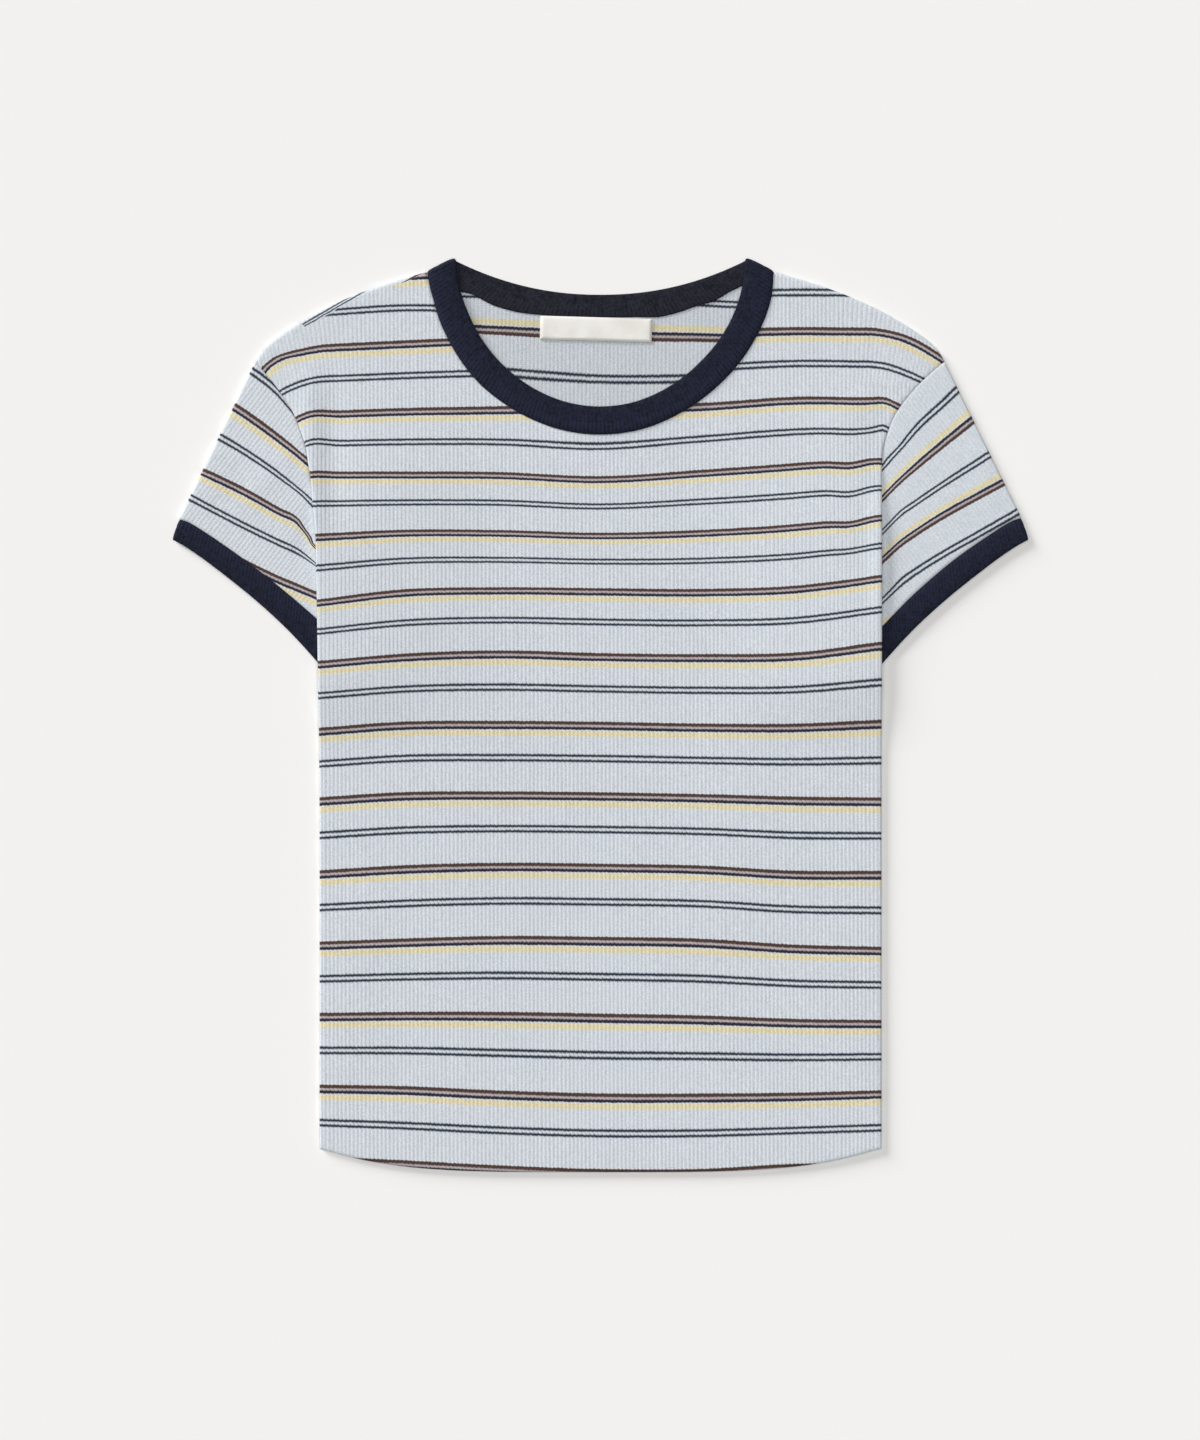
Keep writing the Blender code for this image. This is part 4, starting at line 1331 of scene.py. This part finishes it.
def label(look):
    """Make the label: blank woven tape that lies a little askew under the neckband."""
    half_wide, half_high, wall = LABEL_SIZE[0] / 2, LABEL_SIZE[1] / 2, LABEL_SIZE[2]
    outline = []
    for sx, sy, start in ((1, -1, -90), (1, 1, 0), (-1, 1, 90), (-1, -1, 180)):
        for step in range(4):
            angle = math.radians(start + step * 30)
            outline.append(
                Vector((sx * (half_wide - LABEL_CORNER) + LABEL_CORNER * math.cos(angle),
                        sy * (half_high - LABEL_CORNER) + LABEL_CORNER * math.sin(angle))))
    closed = outline + outline[:1]
    base = WALL + SEAM_GAP

    def face(x, y):
        height, half_waves = LABEL_HUMP
        hump = (height * np.cos(x / half_wide * math.pi * half_waves)
                * soft_step(-half_high, half_high, -y))
        thick, low, high = LABEL_FOLD
        fold = thick * soft_step(half_wide - low, half_wide - high, np.abs(x))
        rounding = LABEL_EDGE_SHARE * edge_rounding(distance_to(closed, x, y))
        return base + wall + hump + fold - rounding

    cloth = Cloth()
    top, = cloth.skin([closed], [], face, 0.0, even_grid(outline, LABEL_GRID))
    bottom, = cloth.skin([closed], [], lambda x, y: np.full(len(x), base))
    cloth.zip(bottom, top)
    cos, sin = math.cos(look.tilt), math.sin(look.tilt)
    centre = Vector(LABEL_PLACE)
    cloth.points = [(centre.x + x * cos - y * sin, centre.y + x * sin + y * cos, z)
                    for x, y, z in cloth.points]
    piece = finish_piece("neck_label", cloth, {}, cream_woven_label(look))
    declare(piece, "label", LABEL_SIZE[:2])


# ---------------------------------------------------------------- stage

FLOOR_HALF = 3.0                      # metres
FLOOR_DROP = 0.0002                   # keeps the floor just clear of the cloth, in metres
PHOTO_HEIGHT = 1440                   # pixels
PHOTO_SCALE = 0.56                    # millimetres to a pixel of the photograph
PHOTO_MIDDLE = (-0.28, -2.8)          # what lies under the middle of the photograph
CLOTH_LEVEL = 3.0                     # height at which the photograph was measured


def aimed(name, data, place, target):
    """Add an object that looks from a place at a target."""
    thing = bpy.data.objects.new(name, data)
    thing.location = place
    thing.rotation_euler = (Vector(target) - Vector(place)).to_track_quat("-Z", "Y").to_euler()
    bpy.context.scene.collection.objects.link(thing)
    return thing


def stage(look):
    """Lay the floor, light it softly from the upper left and look straight down."""
    mesh = bpy.data.meshes.new("studio_floor")
    corners = ((-1, -1), (1, -1), (1, 1), (-1, 1))
    mesh.from_pydata([(FLOOR_HALF * x, FLOOR_HALF * y, -FLOOR_DROP) for x, y in corners], [],
                     [(0, 1, 2, 3)])
    mesh.materials.append(studio_floor(look))
    floor = bpy.data.objects.new("studio_floor", mesh)
    bpy.context.scene.collection.objects.link(floor)

    # Two wide soft boxes far off, at the upper left and overhead, each a sun of large angle.
    boxes = (("side_box", look.side_power, look.side_width, look.side_height),
             ("top_box", look.top_power, look.top_width, math.radians(90.0)))
    for name, power, width, height in boxes:
        box = bpy.data.lights.new(name, "SUN")
        box.energy = power
        box.angle = width
        out = math.cos(height)
        place = (-out * math.cos(look.side_turn), out * math.sin(look.side_turn), math.sin(height))
        aimed(name, box, place, (0.0, 0.0, 0.0))

    world = bpy.data.worlds.new("studio_air")
    world.use_nodes = True
    background = world.node_tree.nodes["Background"]
    background.inputs["Color"].default_value = (*look.air, 1.0)
    background.inputs["Strength"].default_value = look.air_strength
    bpy.context.scene.world = world

    camera = bpy.data.cameras.new("photo_camera")
    camera.sensor_fit = "VERTICAL"
    camera.sensor_height = 24.0
    high = PHOTO_HEIGHT * PHOTO_SCALE * METRES
    camera.lens = camera.sensor_height * (look.camera_height - CLOTH_LEVEL * METRES) / high
    camera.clip_start = 0.05
    x, y = (place * METRES for place in PHOTO_MIDDLE)
    bpy.context.scene.camera = aimed("photo_camera", camera, (x, y, look.camera_height),
                                     (x, y, 0.0))
    bpy.context.scene.camera.rotation_euler = (0.0, 0.0, 0.0)
    bpy.context.scene.view_settings.view_transform = "Standard"


# ---------------------------------------------------------------- settings

def colour_setting(name, description, hex_colour):
    """Describe one colour that a user may change."""
    return bpy.props.FloatVectorProperty(name=name, description=description, subtype="COLOR",
                                         size=3, min=0.0, max=1.0, default=linear(hex_colour))


class ClothSettings(bpy.types.PropertyGroup):
    """Striped rib knit of the panels and sleeves."""

    relief: bpy.props.FloatProperty(
        name="Rib relief", description="Height of the ribs in millimetres", default=0.2, min=0.0,
        max=1.0)
    back_relief: bpy.props.FloatProperty(
        name="Inside rib relief", description="Height of the ribs inside the back in millimetres",
        default=0.16, min=0.0, max=0.5)
    unevenness: bpy.props.FloatProperty(
        name="Unevenness", description="How much one rib differs from the next", default=0.45,
        subtype="FACTOR", min=0.0, max=1.0)
    stitch: bpy.props.FloatProperty(
        name="Stitch height", description="Height of one knit stitch in millimetres", default=1.1,
        min=0.4, max=4.0)
    stripe_step: bpy.props.FloatProperty(
        name="Stripe step", description="How far a stripe steps from rib to groove, in repeats",
        default=0.008, min=0.0, max=0.05)
    # Strength of the painted shade in the grooves of the striped knit.
    groove_painted_shade: bpy.props.FloatProperty(
        name="Groove shade", description="How much darker the grooves are", default=0.11,
        subtype="FACTOR", min=0.0, max=0.5)
    # Strength of the painted shade on the back's inside, seen through the neck opening.
    inside_painted_shade: bpy.props.FloatProperty(
        name="Inside shade", description="How much duller the inside of the knit is",
        default=0.13, subtype="FACTOR", min=0.0, max=0.5)
    sleeve_relief: bpy.props.FloatProperty(
        name="Sleeve rib relief", description="Height of the ribs of the sleeves in millimetres",
        default=0.15, min=0.0, max=1.0)
    fleck: bpy.props.FloatProperty(
        name="Fleck", description="How much single stitches differ in lightness", default=0.48,
        subtype="FACTOR", min=0.0, max=1.0)
    cloth: colour_setting("Cloth", "Ground colour of the knit", "#D0D6DC")
    brown: colour_setting("Brown line", "Colour of the brown line", "#4E3A35")
    mixed: colour_setting("Gap", "Colour of the gap between brown and navy", "#B6ACAE")
    navy: colour_setting("Navy line", "Colour of the navy line", "#2A2735")
    yellow: colour_setting("Yellow line", "Colour of the yellow line", "#DED3AD")
    thin: colour_setting("Thin lines", "Colour of the pair of thin lines", "#28303E")


class BandSettings(bpy.types.PropertyGroup):
    """Navy rib of the neckband and cuffs."""

    pitch: bpy.props.FloatProperty(
        name="Rib pitch", description="From one rib to the next in millimetres", default=2.2,
        min=0.8, max=6.0)
    relief: bpy.props.FloatProperty(
        name="Rib relief", description="Height of the ribs in millimetres", default=0.2, min=0.0,
        max=1.0)
    stitch: bpy.props.FloatProperty(
        name="Stitch height", description="Height of one knit stitch in millimetres", default=1.1,
        min=0.4, max=4.0)
    # Strength of the painted light on the ribs and painted shade in the grooves, beside the sewn
    # edge.
    rib_painted_shade: bpy.props.FloatProperty(
        name="Rib shade", description="How clearly the ribs show beside the sewn edge",
        default=1.2, subtype="FACTOR", min=0.0, max=2.0)
    # Ends of the navy ramp, which carries random mottle and the painted rib light and groove
    # shade.
    colour: colour_setting("Navy", "Lighter navy, on the ribs", "#222538")
    deep: colour_setting("Deep navy", "Darker navy, in the grooves", "#0F121B")
    inside: colour_setting("Inside", "Navy of the side worn next to the neck", "#282831")


class LabelSettings(bpy.types.PropertyGroup):
    """Blank woven label."""

    tilt: bpy.props.FloatProperty(
        name="Tilt", description="How far the label is turned", default=math.radians(-1.6),
        subtype="ANGLE", unit="ROTATION", min=-0.3, max=0.3)
    colour: colour_setting("Tape", "Colour of the label tape", "#E8E6E0")
    shadow: colour_setting("Tape shade", "Darker threads of the label tape", "#DBD8D0")


class StageSettings(bpy.types.PropertyGroup):
    """Floor, lights and camera."""

    floor: colour_setting("Floor", "Colour of the floor", "#F2F1EF")
    air: colour_setting("Air", "Colour of the light from all round", "#FFFFFF")
    air_strength: bpy.props.FloatProperty(
        name="Air strength", description="Strength of the light from all round", default=0.05,
        min=0.0, max=5.0)
    side_power: bpy.props.FloatProperty(
        name="Side box", description="Strength of the soft box at the upper left", default=3.36,
        min=0.0, max=50.0)
    side_width: bpy.props.FloatProperty(
        name="Side box width", description="How wide the side box looks from the shirt",
        default=math.radians(24.0), subtype="ANGLE", unit="ROTATION", min=0.0, max=math.pi)
    side_height: bpy.props.FloatProperty(
        name="Side box height", description="How high the side box stands over the floor",
        default=math.radians(18.0), subtype="ANGLE", unit="ROTATION", min=0.1, max=1.5)
    side_turn: bpy.props.FloatProperty(
        name="Side box turn", description="How far the side box is turned from the left side",
        default=math.radians(42.0), subtype="ANGLE", unit="ROTATION", min=0.0, max=math.pi)
    top_power: bpy.props.FloatProperty(
        name="Top box", description="Strength of the soft box overhead", default=1.95,
        min=0.0, max=50.0)
    top_width: bpy.props.FloatProperty(
        name="Top box width", description="How wide the top box looks from the shirt",
        default=math.radians(50.0), subtype="ANGLE", unit="ROTATION", min=0.0, max=math.pi)
    camera_height: bpy.props.FloatProperty(
        name="Camera height", description="Height of the camera over the floor", default=1.9,
        unit="LENGTH", min=0.5, max=10.0)


# ---------------------------------------------------------------- operators and panel

class SHIRT_OT_stage(bpy.types.Operator):
    """Add the floor, the lights and the camera"""

    bl_idname = "shirt.add_stage"
    bl_label = "Stage"

    def execute(self, context):
        stage(context.scene.shirt_stage)
        return {"FINISHED"}


class SHIRT_OT_back(bpy.types.Operator):
    """Add the back panel"""

    bl_idname = "shirt.add_back"
    bl_label = "Back"

    def execute(self, context):
        back(context.scene.shirt_cloth)
        return {"FINISHED"}


class SHIRT_OT_front(bpy.types.Operator):
    """Add the front panel"""

    bl_idname = "shirt.add_front"
    bl_label = "Front"

    def execute(self, context):
        front(context.scene.shirt_cloth)
        return {"FINISHED"}


class SHIRT_OT_sleeves(bpy.types.Operator):
    """Add both sleeves"""

    bl_idname = "shirt.add_sleeves"
    bl_label = "Sleeves"

    def execute(self, context):
        for side in SIDES:
            sleeve(side, context.scene.shirt_cloth)
        return {"FINISHED"}


class SHIRT_OT_neckband(bpy.types.Operator):
    """Add the neckband"""

    bl_idname = "shirt.add_neckband"
    bl_label = "Neckband"

    def execute(self, context):
        neckband(context.scene.shirt_bands)
        return {"FINISHED"}


class SHIRT_OT_cuffs(bpy.types.Operator):
    """Add both cuffs"""

    bl_idname = "shirt.add_cuffs"
    bl_label = "Cuffs"

    def execute(self, context):
        for side in SIDES:
            cuff(side, context.scene.shirt_bands)
        return {"FINISHED"}


class SHIRT_OT_label(bpy.types.Operator):
    """Add the blank neck label"""

    bl_idname = "shirt.add_label"
    bl_label = "Label"

    def execute(self, context):
        label(context.scene.shirt_label)
        return {"FINISHED"}


OPERATORS = (SHIRT_OT_back, SHIRT_OT_front, SHIRT_OT_sleeves, SHIRT_OT_neckband, SHIRT_OT_cuffs,
             SHIRT_OT_label, SHIRT_OT_stage)
SETTINGS = {"shirt_cloth": ClothSettings, "shirt_bands": BandSettings,
            "shirt_label": LabelSettings, "shirt_stage": StageSettings}


class SHIRT_PT_pieces(bpy.types.Panel):
    """Pieces and settings of the t-shirt"""

    bl_idname = "SHIRT_PT_pieces"
    bl_label = "T-shirt"
    bl_space_type = "VIEW_3D"
    bl_region_type = "UI"
    bl_category = "T-shirt"

    def draw(self, context):
        for operator in OPERATORS:
            self.layout.operator(operator.bl_idname)
        for name, settings in SETTINGS.items():
            box = self.layout.box()
            for key in settings.__annotations__:
                box.prop(getattr(context.scene, name), key)


def register():
    """Add the settings, the operators and the panel to Blender."""
    for settings in SETTINGS.values():
        bpy.utils.register_class(settings)
    for name, settings in SETTINGS.items():
        setattr(bpy.types.Scene, name, bpy.props.PointerProperty(type=settings))
    for operator in OPERATORS:
        bpy.utils.register_class(operator)
    bpy.utils.register_class(SHIRT_PT_pieces)


def unregister():
    """Take everything that register added out again."""
    bpy.utils.unregister_class(SHIRT_PT_pieces)
    for operator in reversed(OPERATORS):
        bpy.utils.unregister_class(operator)
    for name, settings in SETTINGS.items():
        delattr(bpy.types.Scene, name)
        bpy.utils.unregister_class(settings)


def main():
    """Dress the shirt piece by piece."""
    register()
    bpy.ops.shirt.add_back()
    bpy.ops.shirt.add_front()
    bpy.ops.shirt.add_sleeves()
    bpy.ops.shirt.add_neckband()
    bpy.ops.shirt.add_cuffs()
    bpy.ops.shirt.add_label()
    bpy.ops.shirt.add_stage()


if __name__ == "__main__":
    main()
